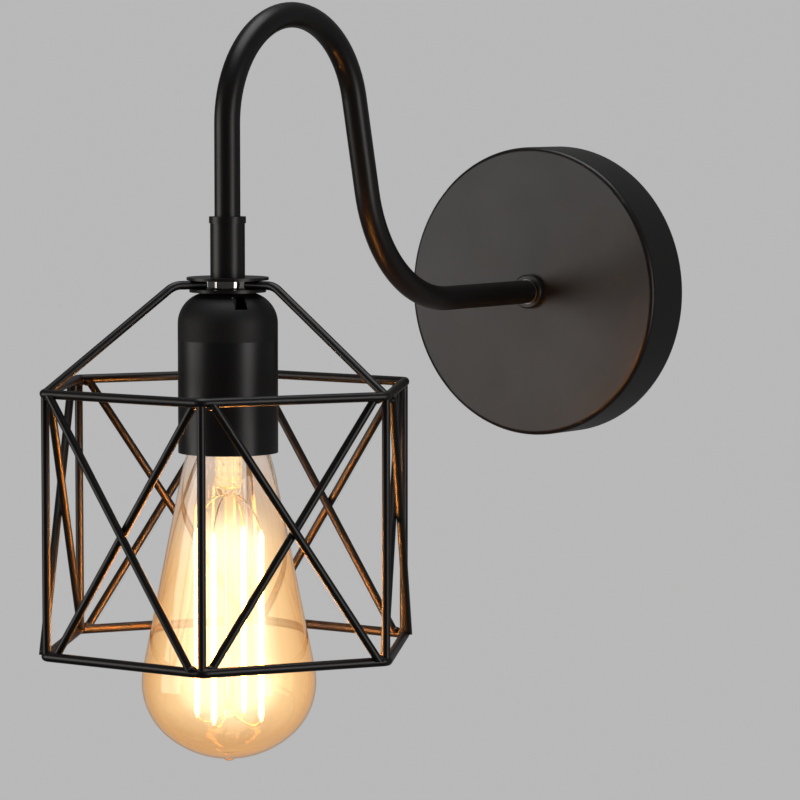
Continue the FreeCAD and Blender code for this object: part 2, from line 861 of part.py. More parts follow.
def thread_solid(radius, crest, root, depth, low, turns):
    """A right-hand helical ridge of trapezoid section that stands on a radius."""
    pitch = value("cap_pitch")
    helix = Part.makeLongHelix(pitch, pitch * turns, radius)
    sunk = radius - value("cap_wall") / 2
    wide = root / 2 + (root - crest) / 2 / depth * (radius - sunk)
    section = Part.makePolygon(
        [
            Vector(sunk, 0, -wide),
            Vector(radius + depth, 0, -crest / 2),
            Vector(radius + depth, 0, crest / 2),
            Vector(sunk, 0, wide),
            Vector(sunk, 0, -wide),
        ]
    )
    ridge = Part.Wire(helix.Edges).makePipeShell([Part.Wire(section.Edges)], True, True)
    ridge.translate(Vector(0, 0, low))
    return ridge


def ring_solid(inner, outer, low, high):
    ring = Part.makeCylinder(outer, high - low, Vector(0, 0, low))
    return ring.cut(Part.makeCylinder(inner, high - low, Vector(0, 0, low)))


def make_screw_shell():
    """The holder's threaded shell, whose groove runs with the cap's thread at rest."""
    play = value("thread_clearance")
    pitch = value("cap_pitch")
    high = value(INSERT_FLOOR)
    low = high - value("shell_length")
    minor = value(CAP_MINOR) + play
    depth = value("thread_depth") + play - value("thread_play")
    below = math.ceil((thread_foot() - low) / pitch + 1)
    groove = thread_solid(
        minor,
        value("thread_crest") + 2 * play,
        value("thread_root") + 2 * play,
        depth,
        thread_foot() - below * pitch,
        below + math.ceil(value("cap_turns")) + 1,
    )
    thing = document.addObject("Part::Feature", "screw_shell_part")
    thing.Shape = ring_solid(minor, value(SHELL_RADIUS), low, high).cut(groove)
    place_on_lamp(thing)
    keep(thing, "screw_shell")


def thread_foot():
    """The height at which the cap's thread starts, half a ridge above the cap's edge."""
    return value(CAP_BOTTOM) + value("thread_root")


def make_centre_contact():
    """The brass strip that the bulb's tip presses on, and the rivet that holds it."""
    body = new_body("centre_contact")
    strip = new_sketch(body, "contact_strip", "XY_Plane", f"{INSERT_FLOOR} - contact_thickness")
    half = "contact_length / 2"
    side = "rivet_diameter / 2"
    trace(strip, (f"-{half}", f"-{side}"), [(half, f"-{side}"), (half, side), (f"-{half}", side)])
    pad(body, strip, "contact_thickness")
    rivet = new_sketch(body, "contact_rivet", "XY_Plane", INSERT_FLOOR)
    circle(rivet, "0", "0", "rivet_diameter / 2 - thread_play")
    pad(body, rivet, "insert_floor")
    place_on_lamp(body)
    keep(body, "centre_contact")


def make_holder_terminals():
    """Two brass terminals on the ceramic, each with a clamping screw from outside."""
    blocks = []
    screws = []
    for side, sign in (("live", "1"), ("neutral", "-1")):
        block = box(f"terminal_block_{side}", "terminal_size", "terminal_size", "terminal_size")
        place(
            block,
            x=f"{sign} * wire_spread - terminal_size / 2",
            y=f"-arm_projection + {sign} * terminal_spread - terminal_size / 2",
            z=INSERT_TOP,
        )
        bore = rod(f"terminal_bore_{side}", "wire_diameter / 2 + thread_play", "terminal_size")
        place(
            bore,
            x=f"{sign} * wire_spread",
            y=f"-arm_projection + {sign} * terminal_spread",
            z=f"{INSERT_TOP} + terminal_size / 5",
        )
        tapped = rod(f"terminal_tap_{side}", "terminal_screw / 2", "terminal_size")
        place(
            tapped,
            x=f"{sign} * wire_spread",
            y=f"-arm_projection + {sign} * (terminal_spread + wire_diameter / 2)",
            z=f"{INSERT_TOP} + terminal_size / 2",
            axis=(1, 0, 0),
            turn=f"{sign} * -90",
        )
        blocks.append(cut(f"terminal_{side}", cut(f"bored_{side}", block, bore), tapped))
        screw = rod(
            f"terminal_screw_{side}", "terminal_screw / 2 - thread_play", "terminal_screw_length"
        )
        place(
            screw,
            x=f"{sign} * wire_spread",
            y=f"-arm_projection + {sign} * (terminal_spread + wire_diameter / 2 + fit_play)",
            z=f"{INSERT_TOP} + terminal_size / 2",
            axis=(1, 0, 0),
            turn=f"{sign} * -90",
        )
        screws.append(screw)
    group("holder_terminals", blocks)
    group("terminal_screws", screws)


# ---- bulb --------------------------------------------------------------------------------


def make_bulb_cap():
    """The screw cap: a thin shell with a rounded right-hand thread rolled into it."""
    minor = value(CAP_MINOR)
    thing = document.addObject("Part::Feature", "bulb_cap_part")
    ridge = thread_solid(
        minor,
        value("thread_crest"),
        value("thread_root"),
        value("thread_depth"),
        thread_foot(),
        value("cap_turns"),
    )
    shell = ring_solid(minor - value("cap_wall"), minor, value(CAP_BOTTOM), value(CAP_TOP))
    thing.Shape = shell.fuse(ridge)
    place_on_lamp(thing)
    keep(thing, "bulb_cap")


def make_bulb_insulator():
    low = f"({CAP_TOP})"
    high = f"({CAP_TOP} + insulator_height)"
    body = turn_outline(
        "bulb_insulator",
        ("0", low),
        [(CAP_MINOR, low), ("insulator_tip", high), ("0", high)],
    )
    place_on_lamp(body)
    keep(body, "bulb_insulator")


def make_bulb_tip():
    body = new_body("bulb_tip")
    sketch = new_sketch(body, "bulb_tip_outline", "XY_Plane", f"{TIP_TOP} - tip_height")
    circle(sketch, "0", "0", "tip_diameter / 2")
    pad(body, sketch, "tip_height")
    round_edge(body, "tip_diameter / 2", TIP_TOP, "tip_height / 2")
    place_on_lamp(body)
    keep(body, "bulb_tip")


GIRTH = f"({BULB_END} + pip_height + glass_belly)"
SIDE_CENTRE = "(bulb_diameter / 2 - glass_shoulder)"
BELLY = (
    f"(({SIDE_CENTRE}^2 + glass_belly^2 - glass_shoulder^2)"
    " / (2 * (glass_belly - glass_shoulder)))"
)


NECK_IN = f"({CUP_INSIDE} - neck_gap - {SIDE_CENTRE})"
NECK_UP = f"({NECK_FOOT} - {GIRTH})"
GLASS_CONE = (
    f"(atan2({NECK_UP}; {NECK_IN})"
    f" - acos(glass_shoulder / sqrt({NECK_IN}^2 + {NECK_UP}^2)))"
)
GLASS_EXIT = f"({CAP_MINOR} + cap_exit)"


def glass_point(inset, name):
    """The points at which the envelope's curves meet, for the surface at an inset."""
    side = f"(glass_shoulder - {inset})"
    belly = f"({BELLY} - {inset})"
    rise = f"({BELLY} - glass_belly)"
    spread = f"({BELLY} - glass_shoulder)"
    points = {
        "cone": (
            f"{SIDE_CENTRE} + {side} * cos({GLASS_CONE})",
            f"{GIRTH} + {side} * sin({GLASS_CONE})",
        ),
        "girth": (f"{SIDE_CENTRE} + {side}", GIRTH),
        "belly": (
            f"{SIDE_CENTRE} * {belly} / {spread}",
            f"{GIRTH} + {rise} - {rise} * {belly} / {spread}",
        ),
    }
    return points[name]


def make_bulb_glass():
    """The thin pear-shaped envelope: neck, straight cone, two arcs and a sealing pip."""
    side = "glass_shoulder"
    wall = "glass_wall"
    cone_r, cone_z = glass_point("0", "cone")
    cone_inner_r, cone_inner_z = glass_point(wall, "cone")
    neck_r = f"({cone_r} - tan({GLASS_CONE}) * ({NECK_FOOT} - ({cone_z})))"
    neck_inner_r = f"({cone_inner_r} - tan({GLASS_CONE}) * ({NECK_FOOT} - ({cone_inner_z})))"
    belly_r, belly_z = glass_point("0", "belly")
    inner_belly_r, inner_belly_z = glass_point(wall, "belly")
    girth_r, girth_z = glass_point("0", "girth")
    inner_girth_r, inner_girth_z = glass_point(wall, "girth")
    centre = f"({GIRTH} + {BELLY} - glass_belly)"
    pip = "(pip_diameter / 2)"
    pip_z = f"({centre} - sqrt(({BELLY})^2 - {pip}^2))"
    inside = f"({BELLY} - {wall})"
    body = turn_outline(
        "bulb_glass",
        (GLASS_EXIT, CAP_BOTTOM),
        [
            (neck_r, NECK_FOOT),
            (cone_r, cone_z),
            (girth_r, girth_z, side, "right"),
            (belly_r, belly_z, side, "right"),
            (pip, pip_z, BELLY, "right"),
            (f"{pip} / 3", f"{BULB_END}", "pip_diameter / 2", "right"),
            ("0", f"{BULB_END}"),
            ("0", f"{centre} - {inside}"),
            (inner_belly_r, inner_belly_z, inside, "left"),
            (inner_girth_r, inner_girth_z, f"{side} - {wall}", "left"),
            (cone_inner_r, cone_inner_z, f"{side} - {wall}", "left"),
            (neck_inner_r, NECK_FOOT),
            (f"{GLASS_EXIT} - {wall}", CAP_BOTTOM),
        ],
    )
    place_on_lamp(body)
    keep(body, "bulb_glass")


def make_bulb_stem():
    """The glass stem: a flare sealed into the neck, a tube, and a long central rod."""
    flare = f"({GLASS_EXIT} - glass_wall - thread_play)"
    tube = "(stem_diameter / 2)"
    waist = f"({CAP_BOTTOM} - stem_diameter / 2)"
    body = turn_outline(
        "bulb_stem",
        (f"{flare} - stem_wall", CAP_BOTTOM),
        [
            (flare, CAP_BOTTOM),
            (tube, waist),
            (tube, STEM_END),
            ("rod_diameter / 2", f"{STEM_END} - stem_pinch"),
            ("rod_diameter / 2", f"{FILAMENT_END} + support_diameter"),
            ("0", f"{FILAMENT_END} + support_diameter"),
            ("0", STEM_END),
            (f"{tube} - stem_wall", STEM_END),
            (f"{tube} - stem_wall", waist),
        ],
    )
    place_on_lamp(body)
    keep(body, "bulb_stem")


def make_filaments():
    """Four upright filaments, with the wire arms that carry them at both ends."""
    filaments = []
    arms = []
    for index in range(4):
        turn = f"(filament_angle + {90 * index})"
        stick = turn_outline(
            f"filament_{index + 1}",
            ("0", "0"),
            [
                ("support_diameter / 2", "0"),
                ("filament_diameter / 2", "filament_tip"),
                ("filament_diameter / 2", f"{FILAMENT_LENGTH} - filament_tip"),
                ("support_diameter / 2", FILAMENT_LENGTH),
                ("0", FILAMENT_LENGTH),
            ],
        )
        place(
            stick,
            x=f"filament_ring / 2 * cos({turn})",
            y=f"-arm_projection + filament_ring / 2 * sin({turn})",
            z=ARM_SPREAD,
            axis=(1, 0, 0),
            turn="180",
        )
        filaments.append(stick)
        for end, height in (
            ("upper", f"{ARM_SPREAD} - filament_tip / 2"),
            ("lower", f"{FILAMENT_END} + 2 * support_diameter"),
        ):
            arm = rod(
                f"{end}_arm_{index + 1}",
                "support_diameter / 2",
                "filament_ring / 2 - rod_diameter / 2 - support_diameter / 2",
            )
            place(
                arm,
                x=f"rod_diameter / 2 * cos({turn})",
                y=f"-arm_projection + rod_diameter / 2 * sin({turn})",
                z=height,
                axis=(f"-sin({turn})", f"cos({turn})", "0"),
                turn="90",
            )
            arms.append(arm)
    sticks = group("bulb_filaments", filaments)
    loose_arms = document.addObject("Part::Compound", "loose_arms")
    loose_arms.Links = arms
    keep(cut("coped_arms", loose_arms, sticks), "filament_arms")


# ---- cage --------------------------------------------------------------------------------


LEG_SLOPE = f"atan(cage_drop / ({CORNER_RADIUS} - leg_run))"
LEG_TANGENT = f"(leg_bend * tan({LEG_SLOPE} / 2))"


def corner_moves(angle):
    """The two ends of the bend at one corner of the hexagon."""
    cut_back = "ring_bend * tan(30)"
    x = f"cage_radius * cos({angle})"
    y = f"cage_radius * sin({angle})"
    before = (
        f"{x} - {cut_back} * cos({angle + 60})",
        f"{y} - {cut_back} * sin({angle + 60})",
    )
    after = (
        f"{x} + {cut_back} * cos({angle + 120})",
        f"{y} + {cut_back} * sin({angle + 120})",
    )
    return [before, (*after, "ring_bend", "left")]


def make_ring(name, height):
    """A hexagon of round wire with tightly bent corners, one flat of it facing the wall."""
    body = new_body(name)
    path = new_sketch(body, name + "_path", "XY_Plane")
    moves = []
    for angle in range(120, 480, 60):
        moves += corner_moves(angle)
    middle = "cage_radius * cos(30)"
    trace(path, ("0", middle), moves)
    section = new_sketch(body, name + "_section", "YZ_Plane")
    circle(section, middle, "0", "ring_wire / 2")
    pipe(body, section, path, name + "_pipe")
    place_on_lamp(body, z=height)
    return keep(body, name)


def make_legs(ring):
    """Three bent legs from the hub down to every other corner of the top ring."""
    for index, angle in enumerate((-120, 0, 120), start=1):
        body = new_body(f"leg_{index}")
        path = new_sketch(body, f"leg_path_{index}", "XZ_Plane")
        moves = [
            (f"leg_run - {LEG_TANGENT}", "leg_height"),
            (
                f"leg_run + {LEG_TANGENT} * cos({LEG_SLOPE})",
                f"leg_height - {LEG_TANGENT} * sin({LEG_SLOPE})",
                "leg_bend",
                "right",
            ),
            (CORNER_RADIUS, RING_TOP),
        ]
        trace(path, ("leg_start", "leg_height"), moves, closed=False)
        section = new_sketch(body, f"leg_section_{index}", "YZ_Plane", "leg_start")
        circle(section, "0", "leg_height", "leg_wire / 2")
        pipe(body, section, path, f"leg_pipe_{index}")
        place_on_lamp(body, turn=str(angle))
        keep(cut(f"leg_coped_{index}", body, ring), f"cage_leg_{index}")


def make_posts(rings):
    """Six upright wires whose ends are inside the rings' corners, and coped to them."""
    for index in range(6):
        angle = 60 * index - 120
        post = rod(f"post_{index + 1}", "bar_wire / 2", f"cage_height - 2 * {END_INSET}")
        place(
            post,
            x=f"({CORNER_RADIUS} - post_inboard) * cos({angle})",
            y=f"-arm_projection + ({CORNER_RADIUS} - post_inboard) * sin({angle})",
            z=f"{RING_BOTTOM} + {END_INSET}",
        )
        keep(cut(f"post_coped_{index + 1}", post, rings), f"cage_post_{index + 1}")


def make_braces(rings):
    """Two crossed wires in each face: one outside the other, both coped to the rings."""
    space = rod("cage_space", "2 * cage_radius", f"cage_height - 2 * {END_INSET}")
    place_on_lamp(space, z=f"{RING_BOTTOM} + {END_INSET}")
    half_span = "(cage_radius / 2 - brace_inset)"
    tilt = f"atan(2 * {half_span} / cage_height)"
    number = 0
    for face in range(6):
        normal = 60 * face - 90
        for way in (1, -1):
            number += 1
            wire = rod(
                f"brace_{number}",
                "bar_wire / 2",
                f"cage_height / cos({tilt}) + 2 * bar_wire",
            )
            out = f"(cage_radius * cos(30) + {way} * bar_wire / 2)"
            along = f"({way} * ({half_span} + bar_wire * sin({tilt})))"
            place(
                wire,
                x=f"{out} * cos({normal}) - {along} * sin({normal})",
                y=f"-arm_projection + {out} * sin({normal}) + {along} * cos({normal})",
                z=f"{RING_BOTTOM} - bar_wire * cos({tilt})",
                axis=(f"cos({normal})", f"sin({normal})", "0"),
                turn=f"{way} * {tilt}",
            )
            trimmed = document.addObject("Part::Common", f"brace_trimmed_{number}")
            trimmed.Base = wire
            trimmed.Tool = space
            keep(cut(f"brace_coped_{number}", trimmed, rings), f"cage_brace_{number}")


def make_cage():
    top = make_ring("cage_ring_top", RING_TOP)
    bottom = make_ring("cage_ring_bottom", RING_BOTTOM)
    rings = document.addObject("Part::Compound", "rings")
    rings.Links = [top, bottom]
    make_legs(top)
    make_posts(rings)
    make_braces(rings)


def build_all():
    make_wall_plate()
    make_mounting_bracket()
    make_cover_screws()
    make_earth_point()
    make_wire_connectors()
    make_arm_tube()
    make_arm_wires()
    make_arm_collar()
    make_arm_stub()
    make_plate_nut()
    make_tag_washer()
    make_tube_sleeve()
    make_lower_nipple()
    make_hub()
    make_lampholder_dome()
    make_lampholder_skirt()
    make_holder_fixings()
    make_holder_insert()
    make_screw_shell()
    make_centre_contact()
    make_holder_terminals()
    make_bulb_cap()
    make_bulb_insulator()
    make_bulb_tip()
    make_bulb_glass()
    make_bulb_stem()
    make_filaments()
    make_cage()


def check_and_write():
    """Stops on any failed feature or bad shape, and then writes one file for each node."""
    for thing in document.Objects:
        if "Invalid" in thing.State or "Error" in thing.State:
            raise SystemExit(f"{thing.Name} failed: {thing.State}")
    for node in nodes:
        if node.Shape.isNull() or not node.Shape.isValid():
            raise SystemExit(f"{node.Label} has a bad shape")
    os.makedirs("parts", exist_ok=True)
    for node in nodes:
        node.Shape.exportStep(f"parts/{node.Label}.step")
    print(f"{len(nodes)} nodes written")


build_all()
document.recompute()
check_and_write()
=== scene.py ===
"""Cage wall light: the finishes, and the pieces whose fine shape is more than the solid's.

Lengths are in metres unless a name or a note says millimetres.
"""

import json
import math

import bmesh
import bpy
from mathutils import Matrix, Vector


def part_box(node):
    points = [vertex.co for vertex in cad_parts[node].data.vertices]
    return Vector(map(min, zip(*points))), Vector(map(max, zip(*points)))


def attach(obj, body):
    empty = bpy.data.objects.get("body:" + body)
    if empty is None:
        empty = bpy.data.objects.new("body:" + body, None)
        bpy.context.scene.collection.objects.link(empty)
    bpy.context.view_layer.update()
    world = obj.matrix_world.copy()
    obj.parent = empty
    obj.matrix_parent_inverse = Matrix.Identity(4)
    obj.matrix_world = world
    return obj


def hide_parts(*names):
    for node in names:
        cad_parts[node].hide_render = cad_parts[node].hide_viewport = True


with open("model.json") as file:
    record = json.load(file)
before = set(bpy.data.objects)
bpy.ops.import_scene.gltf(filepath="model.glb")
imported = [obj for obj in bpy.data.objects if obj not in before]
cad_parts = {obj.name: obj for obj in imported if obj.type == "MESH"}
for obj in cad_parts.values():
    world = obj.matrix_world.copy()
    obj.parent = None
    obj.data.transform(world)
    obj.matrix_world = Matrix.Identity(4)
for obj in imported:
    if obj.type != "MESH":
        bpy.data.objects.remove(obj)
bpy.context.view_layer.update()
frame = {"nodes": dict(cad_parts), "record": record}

MM = 0.001

# ---- places that the solids give ---------------------------------------------------------


def low_of(node):
    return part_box(node)[0]


def high_of(node):
    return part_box(node)[1]


def middle_of(node):
    low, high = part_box(node)
    return (low + high) / 2


LAMP = middle_of("bulb_tip")
CAP_BOTTOM = low_of("bulb_cap").z
CAP_TOP = high_of("bulb_cap").z
GLASS_END = low_of("bulb_glass").z
GLASS_RADIUS = (high_of("bulb_glass").x - low_of("bulb_glass").x) / 2
FILAMENT_TOP = high_of("bulb_filaments").z
FILAMENT_BOTTOM = low_of("bulb_filaments").z
RING_TOP = middle_of("cage_ring_top").z
RING_BOTTOM = middle_of("cage_ring_bottom").z

# ---- nodes -------------------------------------------------------------------------------


def feed(tree, value, socket):
    """Sets a socket to a number or a colour, or links another socket to it."""
    if isinstance(value, tuple):
        socket.default_value = (*value, 1.0)
    elif isinstance(value, (int, float)):
        socket.default_value = value
    else:
        tree.links.new(value, socket)


def map_range(tree, value, low, high, out_low, out_high):
    """A clamped map from one range to another. Each end may be a number or a socket."""
    node = tree.nodes.new("ShaderNodeMapRange")
    feed(tree, value, node.inputs["Value"])
    feed(tree, low, node.inputs["From Min"])
    feed(tree, high, node.inputs["From Max"])
    feed(tree, out_low, node.inputs["To Min"])
    feed(tree, out_high, node.inputs["To Max"])
    return node.outputs["Result"]


def combined(tree, operation, first, second):
    """Two numbers or sockets, multiplied or compared as the operation says."""
    node = tree.nodes.new("ShaderNodeMath")
    node.operation = operation
    feed(tree, first, node.inputs[0])
    feed(tree, second, node.inputs[1])
    return node.outputs[0]


def own_place(tree):
    """The place on the object, in its own coordinates."""
    return tree.nodes.new("ShaderNodeTexCoord").outputs["Object"]


def grain(tree, where, scale, detail=2.0, roughness=0.5):
    """Plain noise over a place. Its scale may be a number or a socket."""
    noise = tree.nodes.new("ShaderNodeTexNoise")
    noise.inputs["Detail"].default_value = detail
    noise.inputs["Roughness"].default_value = roughness
    feed(tree, where, noise.inputs["Vector"])
    feed(tree, scale, noise.inputs["Scale"])
    return noise.outputs["Fac"]


# ---- camera, room and light --------------------------------------------------------------

CAMERA_PLACE = (0.8853, -1.37092, 0.08593)
CAMERA_AIM = (0.0, -0.11405, -0.03818)
CAMERA_LENS = 178.8
CAMERA_SENSOR = 36.0

BACKDROP_GREY = 0.479
BACKDROP_GLOW = 0.5426
CARD_ROUGHNESS = 0.9
FLOOR_HEIGHT = -2.4
ROOM_HALF = 3.2
SWEEP_RADIUS = 0.9
SHADOW_SHARE = 0.12
MIRRORED_SHARE = 0.22
MIRRORED_FROM = -0.2
MIRRORED_TO = 1.8
FLOOR_SIDES = 64
SWEEP_STEPS = 10
AIR_COLOUR = (0.9, 0.94, 1.0)
AIR_STRENGTH = 0.06
SOFTBOX_DISTANCE = 1.3


def aim(thing, place, target):
    direction = Vector(target) - Vector(place)
    turn = direction.to_track_quat("-Z", "Y").to_matrix().to_4x4()
    thing.matrix_world = Matrix.Translation(place) @ turn


def make_camera():
    data = bpy.data.cameras.new("photo_camera")
    data.lens = CAMERA_LENS
    data.sensor_width = CAMERA_SENSOR
    data.clip_end = 50.0
    camera = bpy.data.objects.new("photo_camera", data)
    bpy.context.scene.collection.objects.link(camera)
    aim(camera, CAMERA_PLACE, CAMERA_AIM)
    bpy.context.scene.camera = camera


def make_area_light(name, place, target, width, tall, strength, colour):
    """A soft light at a place, turned towards its target."""
    data = bpy.data.lights.new(name, "AREA")
    data.shape = "RECTANGLE"
    data.size = width
    data.size_y = tall
    data.energy = strength * math.pi * width * tall
    data.color = colour
    light = bpy.data.objects.new(name, data)
    bpy.context.scene.collection.objects.link(light)
    aim(light, place, target)
    light.visible_camera = False


def make_softbox(name, azimuth, height, width, tall, strength, colour):
    """A soft light beside the lamp, on its level."""
    turn = math.radians(azimuth)
    place = (
        LAMP.x + SOFTBOX_DISTANCE * math.sin(turn),
        LAMP.y - SOFTBOX_DISTANCE * math.cos(turn),
        height,
    )
    make_area_light(name, place, (LAMP.x, LAMP.y, height), width, tall, strength, colour)


def make_lights():
    """Two softboxes beside the lamp, and one above that picks out the edges that look up."""
    make_softbox(
        "left_softbox",
        azimuth=-46.0,
        height=-0.02,
        width=0.8,
        tall=0.75,
        strength=2.3,
        colour=(1.0, 0.97, 0.94),
    )
    make_softbox(
        "right_softbox",
        azimuth=85.0,
        height=-0.06,
        width=0.5,
        tall=0.8,
        strength=2.8,
        colour=(1.0, 0.97, 0.95),
    )
    make_area_light(
        "top_softbox",
        place=(LAMP.x, LAMP.y, 1.2),
        target=LAMP,
        width=1.0,
        tall=1.0,
        strength=2.4,
        colour=(1.0, 1.0, 1.0),
    )


def grey_card(name, share):
    """Plain pale grey that looks flat from the camera and keeps a little real shading.

    Glossy pieces mirror the part of it that stands behind the light, faintly.
    """
    material = bpy.data.materials.new(name)
    material.use_nodes = True
    tree = material.node_tree
    surface = tree.nodes["Principled BSDF"]
    surface.inputs["Base Color"].default_value = (BACKDROP_GREY,) * 3 + (1.0,)
    surface.inputs["Roughness"].default_value = CARD_ROUGHNESS
    glow = tree.nodes.new("ShaderNodeEmission")
    glow.inputs["Color"].default_value = (BACKDROP_GLOW,) * 3 + (1.0,)
    seen = tree.nodes.new("ShaderNodeLightPath")
    straight = combined(
        tree, "MAXIMUM", seen.outputs["Is Camera Ray"], seen.outputs["Is Transmission Ray"]
    )
    where = tree.nodes.new("ShaderNodeSeparateXYZ")
    tree.links.new(own_place(tree), where.inputs[0])
    behind = map_range(
        tree, where.outputs["Y"], MIRRORED_FROM, MIRRORED_TO, 0.0, MIRRORED_SHARE
    )
    mirrored = combined(tree, "MULTIPLY", seen.outputs["Is Glossy Ray"], behind)
    either = combined(tree, "MAXIMUM", straight, mirrored)
    amount = combined(tree, "MULTIPLY", either, 1.0 - share)
    mix = tree.nodes.new("ShaderNodeMixShader")
    tree.links.new(amount, mix.inputs["Fac"])
    tree.links.new(surface.outputs["BSDF"], mix.inputs[1])
    tree.links.new(glow.outputs["Emission"], mix.inputs[2])
    tree.links.new(mix.outputs["Shader"], tree.nodes["Material Output"].inputs["Surface"])
    return material


def make_room():
    """A pale floor that sweeps up into a backdrop on every side of the light."""
    bm = bmesh.new()
    profile = [(0.0, FLOOR_HEIGHT), (ROOM_HALF - SWEEP_RADIUS, FLOOR_HEIGHT)]
    for step in range(1, SWEEP_STEPS + 1):
        turn = step / SWEEP_STEPS * math.pi / 2
        profile.append(
            (
                ROOM_HALF - SWEEP_RADIUS + SWEEP_RADIUS * math.sin(turn),
                FLOOR_HEIGHT + SWEEP_RADIUS * (1 - math.cos(turn)),
            )
        )
    profile.append((ROOM_HALF, ROOM_HALF))
    add_turned(bm, lambda _: profile, (0.0, 0.0), FLOOR_SIDES, closed=False)
    bmesh.ops.reverse_faces(bm, faces=bm.faces[:])
    floor = mesh_object("floor_and_backdrop", bm, grey_card("pale_card", SHADOW_SHARE))


def make_world():
    world = bpy.data.worlds.new("studio_air")
    bpy.context.scene.world = world
    world.use_nodes = True
    tree = world.node_tree
    air = tree.nodes["Background"]
    air.inputs["Color"].default_value = (*AIR_COLOUR, 1.0)
    air.inputs["Strength"].default_value = AIR_STRENGTH


# ---- mesh making -------------------------------------------------------------------------


def mesh_object(name, bm, material, crease=35.0):
    """Turns a bmesh into a named object with smooth faces and sharp creases."""
    mesh = bpy.data.meshes.new(name)
    bm.to_mesh(mesh)
    bm.free()
    mesh.polygons.foreach_set("use_smooth", [True] * len(mesh.polygons))
    mesh.set_sharp_from_angle(angle=math.radians(crease))
    mesh.materials.append(material)
    thing = bpy.data.objects.new(name, mesh)
    bpy.context.scene.collection.objects.link(thing)
    return thing


def add_turned(bm, outline_at, centre, sides, closed=True):
    """Adds a turned shape.

    outline_at(angle) gives its (radius, height) points, with the solid on their left.
    """
    rings = []
    for side in range(sides):
        angle = 2 * math.pi * side / sides
        rings.append((angle, outline_at(angle)))
    count = len(rings[0][1])
    rows = []
    for index in range(count):
        on_axis = all(points[index][0] < 1e-7 for _, points in rings)
        if on_axis:
            rows.append([bm.verts.new((centre[0], centre[1], rings[0][1][index][1]))])
            continue
        row = []
        for angle, points in rings:
            radius, height = points[index]
            x = centre[0] + radius * math.cos(angle)
            y = centre[1] + radius * math.sin(angle)
            row.append(bm.verts.new((x, y, height)))
        rows.append(row)
    last = count if closed else count - 1
    for index in range(last):
        first, second = rows[index], rows[(index + 1) % count]
        if len(first) == 1 and len(second) == 1:
            continue
        for side in range(sides):
            after = (side + 1) % sides
            if len(first) == 1:
                bm.faces.new((first[0], second[after], second[side]))
            elif len(second) == 1:
                bm.faces.new((first[side], first[after], second[0]))
            else:
                bm.faces.new((first[side], first[after], second[after], second[side]))


def arc(centre_r, centre_z, radius, start, end, steps):
    """Points on an arc, its angles in degrees."""
    points = []
    for step in range(steps + 1):
        angle = math.radians(start + (end - start) * step / steps)
        across = centre_r + radius * math.cos(angle)
        up = centre_z + radius * math.sin(angle)
        points.append((across, up))
    return points


def bend(first, control, last, steps):
    """Points on a smooth curve from first to last that leans towards control."""
    points = []
    for step in range(steps + 1):
        t = step / steps
        points.append(
            tuple(
                (1 - t) ** 2 * a + 2 * (1 - t) * t * b + t**2 * c
                for a, b, c in zip(first, control, last)
            )
        )
    return points


def add_tube(bm, points, radius, sides=12):
    """Adds a round wire through points, with closed ends."""
    points = [Vector(point) for point in points]
    across = None
    rows = []
    for index, point in enumerate(points):
        before = points[max(index - 1, 0)]
        after = points[min(index + 1, len(points) - 1)]
        along = (after - before).normalized()
        if across is None:
            across = along.orthogonal().normalized()
        across = (across - along * across.dot(along)).normalized()
        up = along.cross(across)
        row = []
        for side in range(sides):
            angle = 2 * math.pi * side / sides
            row.append(
                bm.verts.new(point + (across * math.cos(angle) + up * math.sin(angle)) * radius)
            )
        rows.append(row)
    for first, second in zip(rows, rows[1:]):
        for side in range(sides):
            after = (side + 1) % sides
            bm.faces.new((first[side], first[after], second[after], second[side]))
    bm.faces.new(list(reversed(rows[0])))
    bm.faces.new(rows[-1])


def off_axis(out, radius, height):
    """A place at a height and at a distance from the lamp's axis, in the direction out."""
    return Vector((LAMP.x, LAMP.y, height)) + out * radius


def dress(piece, body, slot, *nodes):
    """Puts a finished piece on its body, in place of the solids that it stands for."""
    if nodes:
        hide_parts(*nodes)
    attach(piece, body)
    return piece


# ---- finishes ----------------------------------------------------------------------------

CLUMPING = 0.55


def new_group(name, inputs, outputs):
    """An empty shader group with named number inputs and named outputs."""
    group = bpy.data.node_groups.new(name, "ShaderNodeTree")
    for label, start in inputs:
        socket = group.interface.new_socket(label, in_out="INPUT", socket_type="NodeSocketFloat")
        socket.default_value = start
    for label, kind in outputs:
        group.interface.new_socket(label, in_out="OUTPUT", socket_type=kind)
    entry = group.nodes.new("NodeGroupInput")
    leave = group.nodes.new("NodeGroupOutput")
    return group, entry, leave


def make_coat_group():
    """Cured powder: a fine orange peel for the bump, and patches of slightly other gloss."""
    group, entry, leave = new_group(
        "cured_powder",
        [
            ("Peel Scale", 700.0),
            ("Patch Scale", 28.0),
            ("Gloss Low", 0.3),
            ("Gloss High", 0.4),
        ],
        [("Height", "NodeSocketFloat"), ("Roughness", "NodeSocketFloat")],
    )
    where = own_place(group)
    peel = grain(group, where, entry.outputs["Peel Scale"], 2.0, CLUMPING)
    patch = grain(group, where, entry.outputs["Patch Scale"], 4.0, CLUMPING)
    group.links.new(peel, leave.inputs["Height"])
    rough = map_range(
        group,
        patch,
        0.35,
        0.65,
        entry.outputs["Gloss Low"],
        entry.outputs["Gloss High"],
    )
    group.links.new(rough, leave.inputs["Roughness"])
    return group


